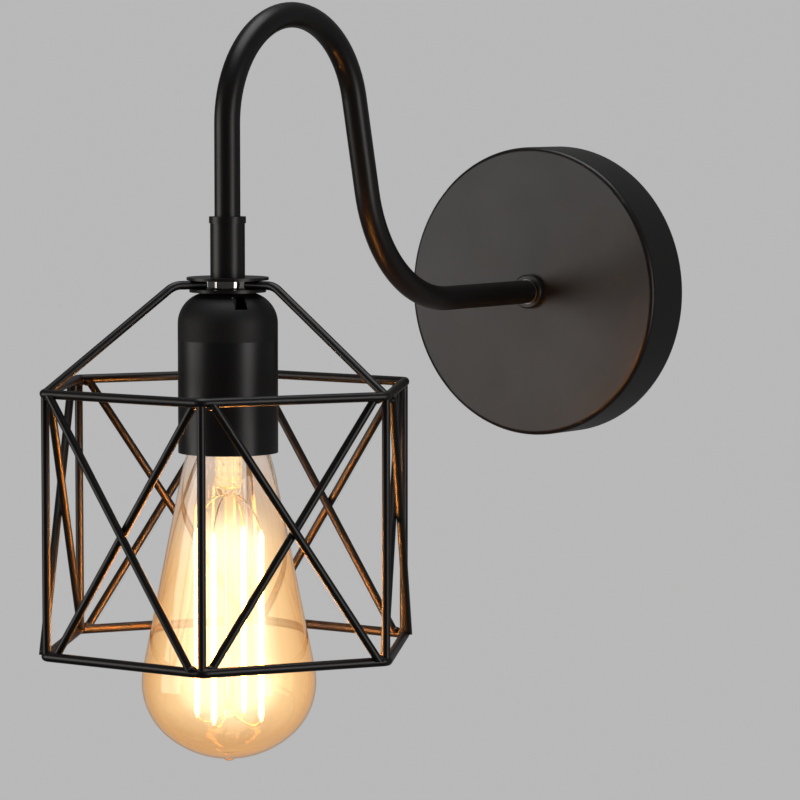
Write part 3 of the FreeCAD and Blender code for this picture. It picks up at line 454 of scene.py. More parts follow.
def make_dust_group():
    """A thin film of dust on faces that look up, broken up by noise."""
    group, entry, leave = new_group(
        "settled_dust",
        [("Amount", 0.1), ("Scale", 60.0)],
        [("Mask", "NodeSocketFloat")],
    )
    where = group.nodes.new("ShaderNodeTexCoord")
    facing = group.nodes.new("ShaderNodeSeparateXYZ")
    group.links.new(where.outputs["Normal"], facing.inputs[0])
    upward = map_range(group, facing.outputs["Z"], 0.55, 1.0, 0.0, 1.0)
    specks = grain(group, where.outputs["Object"], entry.outputs["Scale"], 5.0, CLUMPING)
    broken = map_range(group, specks, 0.4, 0.7, 0.2, 1.0)
    both = combined(group, "MULTIPLY", upward, broken)
    film = combined(group, "MULTIPLY", both, entry.outputs["Amount"])
    group.links.new(film, leave.inputs["Mask"])
    return group


def make_plating_group():
    """Fine drawn scratches and cloudy patches in plated or bare metal."""
    group, entry, leave = new_group(
        "drawn_metal",
        [
            ("Line Scale", 900.0),
            ("Cloud Scale", 120.0),
            ("Rough Low", 0.15),
            ("Rough High", 0.3),
        ],
        [
            ("Height", "NodeSocketFloat"),
            ("Roughness", "NodeSocketFloat"),
            ("Cloud", "NodeSocketFloat"),
        ],
    )
    where = own_place(group)
    stretch = group.nodes.new("ShaderNodeMapping")
    stretch.inputs["Scale"].default_value = (1.0, 1.0, 0.06)
    group.links.new(where, stretch.inputs["Vector"])
    lines = grain(group, stretch.outputs["Vector"], entry.outputs["Line Scale"], 3.0, CLUMPING)
    cloud = grain(group, where, entry.outputs["Cloud Scale"], 4.0, CLUMPING)
    group.links.new(lines, leave.inputs["Height"])
    group.links.new(cloud, leave.inputs["Cloud"])
    rough = map_range(
        group,
        cloud,
        0.35,
        0.65,
        entry.outputs["Rough Low"],
        entry.outputs["Rough High"],
    )
    group.links.new(rough, leave.inputs["Roughness"])
    return group


def finish(name, colour):
    """A material with its surface shader and a plain base colour."""
    material = bpy.data.materials.new(name)
    material.use_nodes = True
    surface = material.node_tree.nodes["Principled BSDF"]
    surface.inputs["Base Color"].default_value = (*colour, 1.0)
    return material, material.node_tree, surface


def use_group(tree, group, values):
    node = tree.nodes.new("ShaderNodeGroup")
    node.node_tree = group
    for label, number in values.items():
        node.inputs[label].default_value = number
    return node


def bump(tree, surface, height, distance, strength):
    node = tree.nodes.new("ShaderNodeBump")
    node.inputs["Strength"].default_value = strength
    node.inputs["Distance"].default_value = distance
    tree.links.new(height, node.inputs["Height"])
    tree.links.new(node.outputs["Normal"], surface.inputs["Normal"])


def mix_colours(tree, factor, first, second):
    """A mix of two colours, each a tuple or a socket."""
    node = tree.nodes.new("ShaderNodeMix")
    node.data_type = "RGBA"
    tree.links.new(factor, node.inputs["Factor"])
    for label, colour in (("A", first), ("B", second)):
        socket = [s for s in node.inputs if s.name == label and s.type == "RGBA"][0]
        feed(tree, colour, socket)
    return [s for s in node.outputs if s.type == "RGBA"][0]


COAT_DEPTH = 0.04 * MM
SCRATCH_DEPTH = 0.03 * MM
DUST_COLOUR = (0.32, 0.3, 0.27)


def coated(name, colour, low, high, peel, dust, powder_group, dust_group):
    """Powder coat or satin moulding over a dark body."""
    material, tree, surface = finish(name, colour)
    powder = use_group(tree, powder_group, {"Gloss Low": low, "Gloss High": high})
    tree.links.new(powder.outputs["Roughness"], surface.inputs["Roughness"])
    bump(tree, surface, powder.outputs["Height"], COAT_DEPTH, peel)
    film = use_group(tree, dust_group, {"Amount": dust})
    pale = mix_colours(tree, film.outputs["Mask"], colour, DUST_COLOUR)
    tree.links.new(pale, surface.inputs["Base Color"])
    return material


def plated(name, colour, shade, low, high, scratch, plating_group):
    """Bare or plated metal with drawn lines, and a second tone in its clouds."""
    material, tree, surface = finish(name, colour)
    surface.inputs["Metallic"].default_value = 1.0
    metal = use_group(tree, plating_group, {"Rough Low": low, "Rough High": high})
    tone = mix_colours(tree, metal.outputs["Cloud"], colour, shade)
    tree.links.new(tone, surface.inputs["Base Color"])
    tree.links.new(metal.outputs["Roughness"], surface.inputs["Roughness"])
    bump(tree, surface, metal.outputs["Height"], SCRATCH_DEPTH, scratch)
    return material


def speckled(name, colour, speck, scale, rough, coat):
    """Fired or moulded material with faint specks and a thin gloss."""
    material, tree, surface = finish(name, colour)
    specks = grain(tree, own_place(tree), scale, 6.0)
    mask = map_range(tree, specks, 0.5, 0.72, 0.0, 1.0)
    tone = mix_colours(tree, mask, colour, speck)
    tree.links.new(tone, surface.inputs["Base Color"])
    uneven = map_range(tree, specks, 0.3, 0.7, rough, rough + 0.12)
    tree.links.new(uneven, surface.inputs["Roughness"])
    surface.inputs["Coat Weight"].default_value = coat
    surface.inputs["Coat Roughness"].default_value = 0.12
    bump(tree, surface, specks, SCRATCH_DEPTH, 0.25)
    return material


def striped_sheath(name, colour, stripe):
    """Wire sheath with one stripe that winds round it."""
    material, tree, surface = finish(name, colour)
    wave = tree.nodes.new("ShaderNodeTexWave")
    wave.bands_direction = "DIAGONAL"
    wave.inputs["Scale"].default_value = 90.0
    wave.inputs["Distortion"].default_value = 0.4
    tree.links.new(own_place(tree), wave.inputs["Vector"])
    mask = map_range(tree, wave.outputs["Fac"], 0.5, 0.56, 0.0, 1.0)
    tree.links.new(mix_colours(tree, mask, colour, stripe), surface.inputs["Base Color"])
    rough = map_range(tree, wave.outputs["Fac"], 0.0, 1.0, 0.36, 0.46)
    tree.links.new(rough, surface.inputs["Roughness"])
    return material


GLASS_CLEAR = (0.985, 0.965, 0.94)
GLASS_AMBER = (0.95, 0.77, 0.51)
# Painted glow of the envelope glass: emission that stands in for the lit filaments' light in it.
NECK_PAINTED_GLOW = (0.035, 0.017, 0.006)
EDGE_PAINTED_GLOW = (0.075, 0.03, 0.007)
HEART_PAINTED_GLOW = (0.33, 0.29, 0.21)
WASH_HIGH = CAP_BOTTOM - 8.0 * MM
WASH_LOW = CAP_BOTTOM - 48.0 * MM
PAINTED_GLOW_HIGH = FILAMENT_TOP + 9.0 * MM
PAINTED_GLOW_LOW = FILAMENT_BOTTOM + 1.5 * MM
PAINTED_GLOW_FADE_LOW = 9.0 * MM
PAINTED_GLOW_FADE_HIGH = 14.4 * MM
PAINTED_GLOW_FACING = (0.05, 0.24)
GLASS_INDEX = 1.47
STEM_INDEX = 1.5
STEM_PAINTED_GLOW = (1.0, 0.7, 0.3)
STEM_PAINTED_GLOW_STRENGTH = 0.14


def bulb_envelope_glass():
    """Amber-washed glass, clear at the neck, with a painted glow in its heart that stands in for
    the lit filaments' light.
    """
    material, tree, surface = finish("amber_washed_glass", GLASS_AMBER)
    surface.inputs["Transmission Weight"].default_value = 1.0
    surface.inputs["IOR"].default_value = GLASS_INDEX
    where = own_place(tree)
    split = tree.nodes.new("ShaderNodeSeparateXYZ")
    tree.links.new(where, split.inputs[0])
    height = split.outputs["Z"]
    patches = grain(tree, where, 35.0, 3.0)
    wash = map_range(tree, height, WASH_HIGH, WASH_LOW, 0.0, 1.0)
    uneven = map_range(tree, patches, 0.3, 0.7, 0.88, 1.0)
    washed = combined(tree, "MULTIPLY", wash, uneven)
    tint = mix_colours(tree, washed, GLASS_CLEAR, GLASS_AMBER)
    tree.links.new(tint, surface.inputs["Base Color"])
    rough = map_range(tree, patches, 0.3, 0.7, 0.015, 0.03)
    tree.links.new(rough, surface.inputs["Roughness"])
    # Painted glow: faint at the neck, warmer lower down, bright in the glass's heart between the
    # filaments' ends.
    edge = tree.nodes.new("ShaderNodeLayerWeight")
    edge.inputs["Blend"].default_value = 0.5
    painted_glow_facing = map_range(tree, edge.outputs["Facing"], *PAINTED_GLOW_FACING, 1.0, 0.0)
    below = map_range(tree, height, PAINTED_GLOW_HIGH, PAINTED_GLOW_HIGH - PAINTED_GLOW_FADE_HIGH, 0.0, 1.0)
    above = map_range(tree, height, PAINTED_GLOW_LOW, PAINTED_GLOW_LOW - PAINTED_GLOW_FADE_LOW, 1.0, 0.0)
    painted_glow_mask = combined(tree, "MULTIPLY", painted_glow_facing, combined(tree, "MULTIPLY", below, above))
    painted_base_glow = mix_colours(tree, washed, NECK_PAINTED_GLOW, EDGE_PAINTED_GLOW)
    tree.links.new(mix_colours(tree, painted_glow_mask, painted_base_glow, HEART_PAINTED_GLOW), surface.inputs["Emission Color"])
    surface.inputs["Emission Strength"].default_value = 1.0
    return material


def stem_glass():
    """Drawn glass, faintly rippled, with a painted glow that stands in for the light of the
    filaments beside it.
    """
    material, tree, surface = finish("drawn_stem_glass", (0.99, 0.95, 0.88))
    surface.inputs["Transmission Weight"].default_value = 1.0
    surface.inputs["IOR"].default_value = STEM_INDEX
    ripples = grain(tree, own_place(tree), 260.0)
    rough = map_range(tree, ripples, 0.3, 0.7, 0.02, 0.09)
    tree.links.new(rough, surface.inputs["Roughness"])
    bump(tree, surface, ripples, 0.2 * MM, 0.4)
    # Painted glow: the stem's emission stands in for the light of the filaments beside it.
    surface.inputs["Emission Color"].default_value = (*STEM_PAINTED_GLOW, 1.0)
    surface.inputs["Emission Strength"].default_value = STEM_PAINTED_GLOW_STRENGTH
    return material


FILAMENT_GLOW = (1.0, 0.37, 0.065)
FILAMENT_STRENGTH = 86.0
FILAMENT_DIM = 0.8
FILAMENT_COAT = (1.0, 0.78, 0.38)


def lit_coat():
    """The filaments' coat at full heat, a little dimmer between its bright grains."""
    material, tree, surface = finish("lit_filament_coat", FILAMENT_COAT)
    grains = grain(tree, own_place(tree), 420.0)
    mask = map_range(tree, grains, 0.35, 0.65, 0.0, 1.0)
    dim = tuple(part * FILAMENT_DIM for part in FILAMENT_GLOW)
    glow = mix_colours(tree, mask, dim, FILAMENT_GLOW)
    tree.links.new(glow, surface.inputs["Emission Color"])
    surface.inputs["Emission Strength"].default_value = FILAMENT_STRENGTH
    surface.inputs["Roughness"].default_value = 0.7
    return material


COAT_BLACK = (0.0098, 0.0083, 0.0078)
SKIRT_BLACK = (0.012, 0.0105, 0.0105)

# Each slot's row starts with the material's name and its colour. After these, a coating gives
# its least and its most roughness, the strength of its orange peel, and its dust.
COATINGS = {
    "black_coat": ("black_powder_coat", COAT_BLACK, 0.34, 0.38, 0.05, 0.03),
    "black_dome": ("dull_black_moulding", COAT_BLACK, 0.5, 0.6, 0.12, 0.05),
    "black_skirt": ("satin_black_moulding", SKIRT_BLACK, 0.33, 0.39, 0.08, 0.02),
}
# A metal gives its second tone, its least and its most roughness, and its scratches' strength.
METALS = {
    "black_screw": (
        "blackened_screw_steel", (0.05, 0.048, 0.045), (0.03, 0.028, 0.03), 0.3, 0.45, 0.3
    ),
    "zinc_steel": (
        "bright_zinc_plate", (0.62, 0.63, 0.64), (0.5, 0.49, 0.46), 0.4, 0.52, 0.4
    ),
    "nickel_plate": (
        "bright_nickel_plate", (0.78, 0.75, 0.7), (0.66, 0.63, 0.58), 0.12, 0.22, 0.15
    ),
    "tinned_copper": (
        "tinned_lug_copper", (0.66, 0.64, 0.6), (0.62, 0.47, 0.36), 0.25, 0.4, 0.3
    ),
    "shell_brass": (
        "washed_shell_brass", (0.74, 0.66, 0.46), (0.62, 0.5, 0.28), 0.16, 0.32, 0.3
    ),
    "cap_metal": (
        "rolled_cap_metal", (0.78, 0.77, 0.73), (0.68, 0.66, 0.6), 0.16, 0.3, 0.35
    ),
    "solder": (
        "dull_solder", (0.55, 0.55, 0.55), (0.42, 0.42, 0.43), 0.35, 0.55, 0.5
    ),
}
# A moulding gives its specks' colour and scale, its least roughness, and its gloss coat's weight.
MOULDINGS = {
    "white_ceramic": (
        "glazed_white_ceramic", (0.82, 0.8, 0.75), (0.62, 0.58, 0.5), 320.0, 0.2, 0.5
    ),
    "black_glass": (
        "cast_black_cap_glass", (0.018, 0.018, 0.022), (0.05, 0.05, 0.06), 260.0, 0.1, 0.4
    ),
    "grey_nylon": (
        "moulded_grey_nylon", (0.36, 0.36, 0.37), (0.44, 0.44, 0.44), 240.0, 0.42, 0.05
    ),
    "brown_sheath": (
        "brown_wire_sheath", (0.15, 0.065, 0.03), (0.19, 0.09, 0.05), 300.0, 0.38, 0.1
    ),
    "blue_sheath": (
        "blue_wire_sheath", (0.03, 0.12, 0.38), (0.05, 0.16, 0.44), 300.0, 0.38, 0.1
    ),
}
EARTH_GREEN = (0.07, 0.3, 0.06)
EARTH_YELLOW = (0.75, 0.62, 0.06)


def make_finishes():
    """Every finish of the light, each by the name of its material slot."""
    powder = make_coat_group()
    dust = make_dust_group()
    plating = make_plating_group()
    finishes = {slot: coated(*values, powder, dust) for slot, values in COATINGS.items()}
    finishes |= {slot: plated(*values, plating) for slot, values in METALS.items()}
    finishes |= {slot: speckled(*values) for slot, values in MOULDINGS.items()}
    finishes["green_sheath"] = striped_sheath(
        "green_and_yellow_sheath", EARTH_GREEN, EARTH_YELLOW
    )
    finishes["amber_glass"] = bulb_envelope_glass()
    finishes["clear_glass"] = stem_glass()
    finishes["filament_coat"] = lit_coat()
    return finishes


# ---- bulb --------------------------------------------------------------------------------

CAP_MINOR_RADIUS = 12.1 * MM
CAP_MAJOR_RADIUS = 13.025 * MM
CAP_PITCH = 3.629 * MM
CAP_SHEET = 0.35 * MM
CAP_TURNS = 4.2
THREAD_FOOT = CAP_BOTTOM + 1.9 * MM
THREAD_WIDTH = 2.5 * MM
CAP_EXIT_RADIUS = 13.0 * MM
CAP_ROWS = 72
CAP_SIDES = 96


def rolled_radius(angle, height):
    """The cap's radius where its right-hand rolled thread is at an angle and a height."""
    turn = (height - THREAD_FOOT) / CAP_PITCH - angle / (2 * math.pi)
    nearest = round(turn)
    along = nearest + angle / (2 * math.pi)
    off = abs(turn - nearest) * CAP_PITCH
    if off > THREAD_WIDTH / 2:
        return CAP_MINOR_RADIUS
    fade = max(0.0, min(1.0, 4 * along, 4 * (CAP_TURNS - along)))
    rise = (1 + math.cos(2 * math.pi * off / THREAD_WIDTH)) / 2
    return CAP_MINOR_RADIUS + (CAP_MAJOR_RADIUS - CAP_MINOR_RADIUS) * rise * fade


def make_rolled_cap(finishes):
    """The screw cap: thin sheet with its thread rolled in, a plain band and turned-in ends."""
    step = (CAP_TOP - CAP_BOTTOM) / CAP_ROWS
    heights = [CAP_BOTTOM + step * row for row in range(CAP_ROWS + 1)]

    def outline(angle):
        outer = [(rolled_radius(angle, height), height) for height in heights]
        inner = [(radius - CAP_SHEET, height) for radius, height in reversed(outer)]
        return outer + inner

    bm = bmesh.new()
    add_turned(bm, outline, (LAMP.x, LAMP.y), CAP_SIDES)
    cap = mesh_object("rolled_screw_cap", bm, finishes["cap_metal"], 50.0)
    dress(cap, "bulb", "cap_metal", "bulb_cap")


GLASS_WALL = 0.8 * MM
GLASS_SIDE = 26.0 * MM
GLASS_BELLY_DEPTH = 28.3 * MM
GLASS_CONE = 11.3
NECK_LENGTH = 14.0 * MM
NECK_LEAN = 0.38
GLASS_SIDES = 128
PIP_RADIUS = 2.5 * MM
PIP_HEIGHT = 1.2 * MM
GIRTH = GLASS_END + PIP_HEIGHT + GLASS_BELLY_DEPTH
SIDE_CENTRE = GLASS_RADIUS - GLASS_SIDE
BELLY = (SIDE_CENTRE**2 + GLASS_BELLY_DEPTH**2 - GLASS_SIDE**2) / (
    2 * (GLASS_BELLY_DEPTH - GLASS_SIDE)
)
BELLY_CENTRE = GIRTH + BELLY - GLASS_BELLY_DEPTH


def pear_outline(inset):
    """The envelope's surface at an inset, from the cap down to the pip."""
    cone = math.radians(GLASS_CONE)
    meet = -math.degrees(math.atan2(BELLY_CENTRE - GIRTH, SIDE_CENTRE))
    side = arc(SIDE_CENTRE, GIRTH, GLASS_SIDE - inset, GLASS_CONE, meet, 26)
    cone_r, cone_z = side[0]
    neck_z = CAP_BOTTOM - NECK_LENGTH
    neck_r = cone_r - math.tan(cone) * (neck_z - cone_z)
    top = (CAP_EXIT_RADIUS - inset, CAP_BOTTOM)
    lean = (
        neck_r - math.tan(cone) * NECK_LENGTH * (1 - NECK_LEAN),
        CAP_BOTTOM - NECK_LENGTH * NECK_LEAN,
    )
    points = bend(top, lean, (neck_r, neck_z), 10)
    for step in range(1, 10):
        share = step / 10
        points.append((neck_r + (cone_r - neck_r) * share, neck_z + (cone_z - neck_z) * share))
    points += side
    belly = BELLY - inset
    pip = math.degrees(math.acos(PIP_RADIUS / belly))
    points += arc(0.0, BELLY_CENTRE, belly, meet, -pip, 22)[1:]
    return points


def make_envelope(finishes):
    """The pear-shaped envelope with its wall, and the pip where it was sealed."""
    outer = pear_outline(0.0)
    tip_z = outer[-1][1]
    pip = bend(outer[-1], (PIP_RADIUS * 0.55, GLASS_END), (0.0, GLASS_END), 8)[1:]
    inner = pear_outline(GLASS_WALL)
    dimple = bend(inner[-1], (PIP_RADIUS * 0.5, tip_z), (0.0, tip_z), 5)[1:]
    outline = list(reversed(outer + pip))
    outline += inner + dimple
    bm = bmesh.new()
    add_turned(bm, lambda _: outline, (LAMP.x, LAMP.y), GLASS_SIDES)
    glass = mesh_object("pear_envelope", bm, finishes["amber_glass"], 60.0)
    glass.visible_shadow = False
    dress(glass, "bulb", "amber_glass", "bulb_glass")


STEM_RADIUS = 4.8 * MM
STEM_WALL = 1.0 * MM
STEM_LENGTH = 17.0 * MM
STEM_PINCH = 4.0 * MM
ROD_RADIUS = 1.75 * MM
ROD_SHORT = 0.8 * MM
STEM_RIPPLE = 0.35 * MM
STEM_RIPPLES = 3
STEM_WAIST = 6.0 * MM
STEM_SIDES = 64
FLARE_GAP = 0.1 * MM
RIPPLE_STEPS = 30
FILAMENT_RING = 13.0 * MM
FILAMENT_RADIUS = 1.2 * MM
FILAMENT_TURN = 12.5
FILAMENT_TIP = 3.4 * MM
FILAMENT_BEADS = 28
FILAMENT_SWELL = 0.05
FILAMENT_POINT = 0.3
FILAMENT_SIDES = 16
LEAD_RADIUS = 0.32 * MM
LEAD_OVERLAP = 1.0 * MM
LEAD_SAG = 3.0 * MM
LEAD_DIP = 5.0 * MM
BUTTON_RADIUS = 2.4 * MM


def make_stem(finishes):
    """The flare, the rippled stem tube, the press and the long central rod with its button."""
    flare = CAP_EXIT_RADIUS - GLASS_WALL - FLARE_GAP
    waist = CAP_BOTTOM - STEM_WAIST
    end = CAP_BOTTOM - STEM_LENGTH
    press = end - STEM_PINCH
    rod_end = FILAMENT_BOTTOM + ROD_SHORT
    lip = (STEM_RADIUS, CAP_BOTTOM - 1.5 * MM)
    outer = bend((flare, CAP_BOTTOM), lip, (STEM_RADIUS, waist), 8)
    for step in range(1, RIPPLE_STEPS + 1):
        share = step / RIPPLE_STEPS
        swell = STEM_RIPPLE * math.sin(math.pi * STEM_RIPPLES * share) ** 2
        outer.append((STEM_RADIUS + swell, waist + (end - waist) * share))
    outer += bend(outer[-1], (STEM_RADIUS * 0.9, press), (ROD_RADIUS, press), 8)[1:]
    button = rod_end + BUTTON_RADIUS
    outer += [(ROD_RADIUS, button + 2.2 * MM)]
    outer += bend(outer[-1], (BUTTON_RADIUS, button + 1.2 * MM), (BUTTON_RADIUS, button), 5)[1:]
    outer += bend(outer[-1], (BUTTON_RADIUS, rod_end), (0.0, rod_end), 7)[1:]
    bore = STEM_RADIUS - STEM_WALL
    floor = end - 1.0 * MM
    lip = (bore, CAP_BOTTOM - 1.2 * MM)
    inner = bend((flare - STEM_WALL, CAP_BOTTOM), lip, (bore, waist), 8)
    inner += [(bore, end + 1.0 * MM)]
    inner += bend(inner[-1], (bore, floor), (0.0, floor), 6)[1:]
    bm = bmesh.new()
    outline = list(reversed(outer)) + inner
    add_turned(bm, lambda _: outline, (LAMP.x, LAMP.y), STEM_SIDES)
    stem = mesh_object("glass_stem", bm, finishes["clear_glass"], 60.0)
    stem.visible_shadow = False
    dress(stem, "bulb", "clear_glass", "bulb_stem")


def filament_places():
    """Each stick's outward direction and its place on the plan."""
    for index in range(4):
        angle = math.radians(FILAMENT_TURN + 90 * index)
        out = Vector((math.cos(angle), math.sin(angle), 0.0))
        yield out, off_axis(out, FILAMENT_RING, 0.0)


def make_filaments(finishes):
    """Four coated sticks, with a row of faint swellings and pointed ends."""
    bm = bmesh.new()
    rows = 4 * FILAMENT_BEADS
    for _, foot in filament_places():
        points = [(0.0, FILAMENT_BOTTOM)]
        for row in range(rows + 1):
            height = FILAMENT_BOTTOM + (FILAMENT_TOP - FILAMENT_BOTTOM) * row / rows
            end = min(height - FILAMENT_BOTTOM, FILAMENT_TOP - height)
            rise = math.sin(math.pi / 2 * min(1.0, end / FILAMENT_TIP))
            taper = FILAMENT_POINT + (1 - FILAMENT_POINT) * rise
            swell = 1 + FILAMENT_SWELL * math.cos(2 * math.pi * FILAMENT_BEADS * row / rows)
            points.append((FILAMENT_RADIUS * taper * swell * (1 - FILAMENT_SWELL), height))
        points.append((0.0, FILAMENT_TOP))
        add_turned(bm, lambda _: points, foot, FILAMENT_SIDES, closed=False)
    sticks = mesh_object("filament_sticks", bm, finishes["filament_coat"], 60.0)
    dress(sticks, "bulb", "filament_coat", "bulb_filaments")


def make_leads(finishes):
    """The wires that carry the sticks: from the press above, and bowed from the button below."""
    bm = bmesh.new()
    press = CAP_BOTTOM - STEM_LENGTH - STEM_PINCH * 0.6
    button = FILAMENT_BOTTOM + ROD_SHORT + BUTTON_RADIUS * 0.8
    for out, foot in filament_places():
        top = foot + Vector((0.0, 0.0, FILAMENT_TOP - LEAD_OVERLAP))
        start = off_axis(out, ROD_RADIUS * 0.8, press)
        lean = off_axis(out, FILAMENT_RING * 0.8, press - LEAD_SAG)
        add_tube(bm, bend(start, lean, top, 12), LEAD_RADIUS)
        low = foot + Vector((0.0, 0.0, FILAMENT_BOTTOM + LEAD_OVERLAP))
        root = off_axis(out, BUTTON_RADIUS * 0.6, button)
        dip = off_axis(out, FILAMENT_RING * 0.8, FILAMENT_BOTTOM - LEAD_DIP)
        add_tube(bm, bend(root, dip, low, 12), LEAD_RADIUS)
    leads = mesh_object("filament_leads", bm, finishes["nickel_plate"], 60.0)
    dress(leads, "bulb", "nickel_plate", "filament_arms")


# ---- small hardware ----------------------------------------------------------------------

NUT_CORNER = 0.965
NUT_BORE = 5.0 * MM
NUT_CHAMFER = 0.55
NUT_SIDES = 96


def hex_reach(angle, across):
    """The distance from a hexagon's centre to its side at an angle, its corners eased."""
    step = math.pi / 3
    off = (angle + step / 2) % step - step / 2
    eased = across / 2 / math.cos(step / 2) * NUT_CORNER
    return min(across / 2 / math.cos(off), eased)


def nut_outline(across, bore, low, high, chamfer):
    """The outline of a chamfered hexagon nut at each angle, its solid on the left."""

    def outline(angle):
        reach = hex_reach(angle, across)
        drop = (reach - across / 2 * 0.97) * chamfer
        face = across / 2 * 0.95
        return [
            (bore, low),
            (face, low),
            (reach, low + drop),
            (reach, high - drop),
            (face, high),
            (bore, high),
        ]

    return outline


def make_hub_nut(finishes):
    """The bright chamfered nut between the hub's two discs."""
    low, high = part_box("hub_nut")
    bm = bmesh.new()
    across = min(high.x - low.x, high.y - low.y)
    outline = nut_outline(across, NUT_BORE, low.z, high.z, NUT_CHAMFER)
    add_turned(bm, outline, (LAMP.x, LAMP.y), NUT_SIDES)
    nut = mesh_object("hub_lock_nut", bm, finishes["nickel_plate"], 25.0)
    dress(nut, "root", "nickel_plate", "hub_nut")


WELD_SEED = 5
BRACE_INSET = 3.6 * MM
CAGE_RADIUS = 71.4 * MM
POST_RADIUS = 70.84 * MM
RING_RADIUS = 1.7 * MM
BEAD_OUT = 1.0 * MM
BEAD_DROP = RING_RADIUS * 0.9
BEAD_RADIUS = 1.7 * MM
BEAD_FLATNESS = 0.62
BEAD_LEAST = 0.85
BEAD_MOST = 1.1
POST_BEAD_INSET = 0.45 * MM


def weld_points():
    """The places where the posts and the braces meet the rings."""
    for ring, inward in ((RING_TOP, -1), (RING_BOTTOM, 1)):
        height = ring + inward * BEAD_DROP
        for corner in range(6):
            angle = math.radians(60 * corner)
            out = Vector((math.cos(angle), math.sin(angle), 0.0))
            yield off_axis(out, POST_RADIUS - POST_BEAD_INSET, height)
        for face in range(6):
            angle = math.radians(60 * face - 90)
            out = Vector((math.cos(angle), math.sin(angle), 0.0))
            side = Vector((-out.y, out.x, 0.0))
            half = CAGE_RADIUS / 2 - BRACE_INSET
            for way in (-1, 1):
                depth = CAGE_RADIUS * math.cos(math.radians(30)) + way * inward * BEAD_OUT
                yield off_axis(out, depth, height) + side * way * half


def bead_tree(material):
    """Geometry nodes: one flattened bead on each point, each a little other in size."""
    tree = bpy.data.node_groups.new("weld_beads", "GeometryNodeTree")
    tree.interface.new_socket("Geometry", in_out="INPUT", socket_type="NodeSocketGeometry")
    for label, start in (
        ("Bead Radius", BEAD_RADIUS),
        ("Least Size", BEAD_LEAST),
        ("Most Size", BEAD_MOST),
    ):
        socket = tree.interface.new_socket(label, in_out="INPUT", socket_type="NodeSocketFloat")
        socket.default_value = start
    tree.interface.new_socket("Geometry", in_out="OUTPUT", socket_type="NodeSocketGeometry")
    entry = tree.nodes.new("NodeGroupInput")
    leave = tree.nodes.new("NodeGroupOutput")
    ball = tree.nodes.new("GeometryNodeMeshIcoSphere")
    ball.inputs["Subdivisions"].default_value = 3
    tree.links.new(entry.outputs["Bead Radius"], ball.inputs["Radius"])
    smooth = tree.nodes.new("GeometryNodeSetShadeSmooth")
    tree.links.new(ball.outputs["Mesh"], smooth.inputs["Geometry"])
    size = tree.nodes.new("FunctionNodeRandomValue")
    size.data_type = "FLOAT"
    size.inputs["Seed"].default_value = WELD_SEED
    numbers = [s for s in size.inputs if s.type == "VALUE"]
    tree.links.new(entry.outputs["Least Size"], numbers[0])
    tree.links.new(entry.outputs["Most Size"], numbers[1])
    flat = tree.nodes.new("ShaderNodeCombineXYZ")
    grown = [s for s in size.outputs if s.type == "VALUE"][0]
    tree.links.new(grown, flat.inputs["X"])
    tree.links.new(grown, flat.inputs["Y"])
    tree.links.new(combined(tree, "MULTIPLY", grown, BEAD_FLATNESS), flat.inputs["Z"])
    place = tree.nodes.new("GeometryNodeInstanceOnPoints")
    tree.links.new(entry.outputs["Geometry"], place.inputs["Points"])
    tree.links.new(smooth.outputs["Geometry"], place.inputs["Instance"])
    tree.links.new(flat.outputs[0], place.inputs["Scale"])
    real = tree.nodes.new("GeometryNodeRealizeInstances")
    tree.links.new(place.outputs["Instances"], real.inputs["Geometry"])
    paint = tree.nodes.new("GeometryNodeSetMaterial")
    paint.inputs["Material"].default_value = material
    tree.links.new(real.outputs["Geometry"], paint.inputs["Geometry"])
    tree.links.new(paint.outputs["Geometry"], leave.inputs["Geometry"])
    return tree


def plain_result(thing, name):
    """The evaluated shape of an object as a plain mesh object, without its modifier."""
    graph = bpy.context.evaluated_depsgraph_get()
    mesh = bpy.data.meshes.new_from_object(thing.evaluated_get(graph))
    mesh.name = name
    bpy.data.objects.remove(thing)
    result = bpy.data.objects.new(name, mesh)
    bpy.context.scene.collection.objects.link(result)
    return result


def make_weld_beads(finishes):
    """Small beads of coated weld in the corners of the cage."""
    mesh = bpy.data.meshes.new("weld_places")
    mesh.from_pydata([tuple(place) for place in weld_points()], [], [])
    carrier = bpy.data.objects.new("weld_places", mesh)
    bpy.context.scene.collection.objects.link(carrier)
    modifier = carrier.modifiers.new("beads", "NODES")
    modifier.node_group = bead_tree(finishes["black_coat"])
    beads = plain_result(carrier, "cage_weld_beads")
    dress(beads, "root", "black_coat")


CONNECTOR_RIBS = 12
CONNECTOR_SIDES = 72
CONNECTOR_LENGTH = 16.0 * MM
RIB_HEIGHT = 0.22 * MM
CONNECTOR_RADIUS = 4.0 * MM
CONNECTOR_TIP = 2.6 * MM
CONNECTOR_BORE = 1.2 * MM


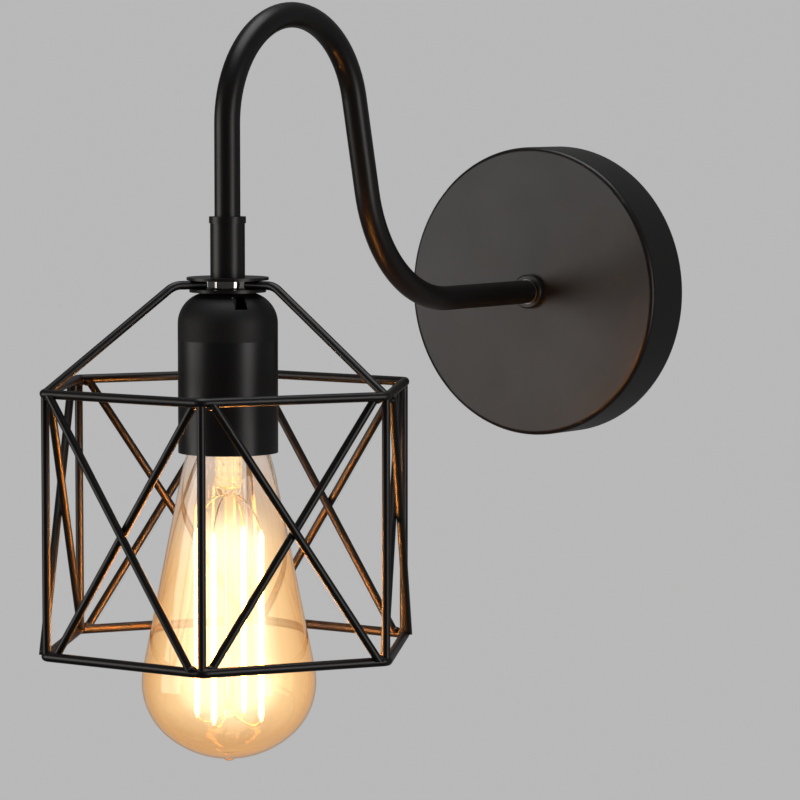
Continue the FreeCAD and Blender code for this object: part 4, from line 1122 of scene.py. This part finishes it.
def make_connectors(finishes):
    """Two ribbed twist-on connectors behind the wall plate."""
    low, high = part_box("wire_connectors")
    radius = CONNECTOR_RADIUS
    tip = CONNECTOR_TIP
    bm = bmesh.new()
    for sign, x in ((1, low.x + radius), (-1, high.x - radius)):
        end = high.z if sign == 1 else low.z
        mouth = end - sign * CONNECTOR_LENGTH

        def outline(angle):
            rib = RIB_HEIGHT * (1 + math.cos(CONNECTOR_RIBS * angle)) / 2
            shape = [
                (CONNECTOR_BORE, 5.0 * MM),
                (CONNECTOR_BORE, 0.0),
                (radius - 0.5 * MM, 0.0),
                (radius, 0.5 * MM),
                (radius, 1.8 * MM),
                (radius - 0.35 * MM, 2.2 * MM),
                (radius - 0.35 * MM + rib, 3.0 * MM),
                (radius - 0.55 * MM + rib, 9.0 * MM),
                (tip + 0.1 * MM + rib * 0.8, 14.2 * MM),
                (tip - 0.1 * MM, 15.0 * MM),
                (tip - 0.9 * MM, CONNECTOR_LENGTH),
                (0.0, CONNECTOR_LENGTH),
                (0.0, 5.0 * MM),
            ]
            points = [(r, mouth + sign * z) for r, z in shape]
            return points if sign == 1 else list(reversed(points))

        add_turned(bm, outline, (x, (low.y + high.y) / 2), CONNECTOR_SIDES)
    caps = mesh_object("twist_on_connectors", bm, finishes["grey_nylon"], 40.0)
    dress(caps, "root", "grey_nylon", "wire_connectors")


# ---- everything together -----------------------------------------------------------------


def dress_solids(finishes):
    """Gives each solid that stays the finish of its own material slot."""
    slots = {item["node"]: item["material_slot"] for item in frame["record"]["subparts"]}
    for name, thing in frame["nodes"].items():
        material = finishes[slots[name]]
        if not thing.data.materials:
            thing.data.materials.append(material)
        for index in range(len(thing.data.materials)):
            thing.data.materials[index] = material


def make_light():
    """All the pieces that the solids can't show finely enough, and every finish."""
    finishes = make_finishes()
    dress_solids(finishes)
    make_rolled_cap(finishes)
    make_envelope(finishes)
    make_stem(finishes)
    make_filaments(finishes)
    make_leads(finishes)
    make_hub_nut(finishes)
    make_weld_beads(finishes)
    make_connectors(finishes)


bpy.context.scene.view_settings.view_transform = "Standard"
make_camera()
make_world()
make_lights()
make_room()
make_light()
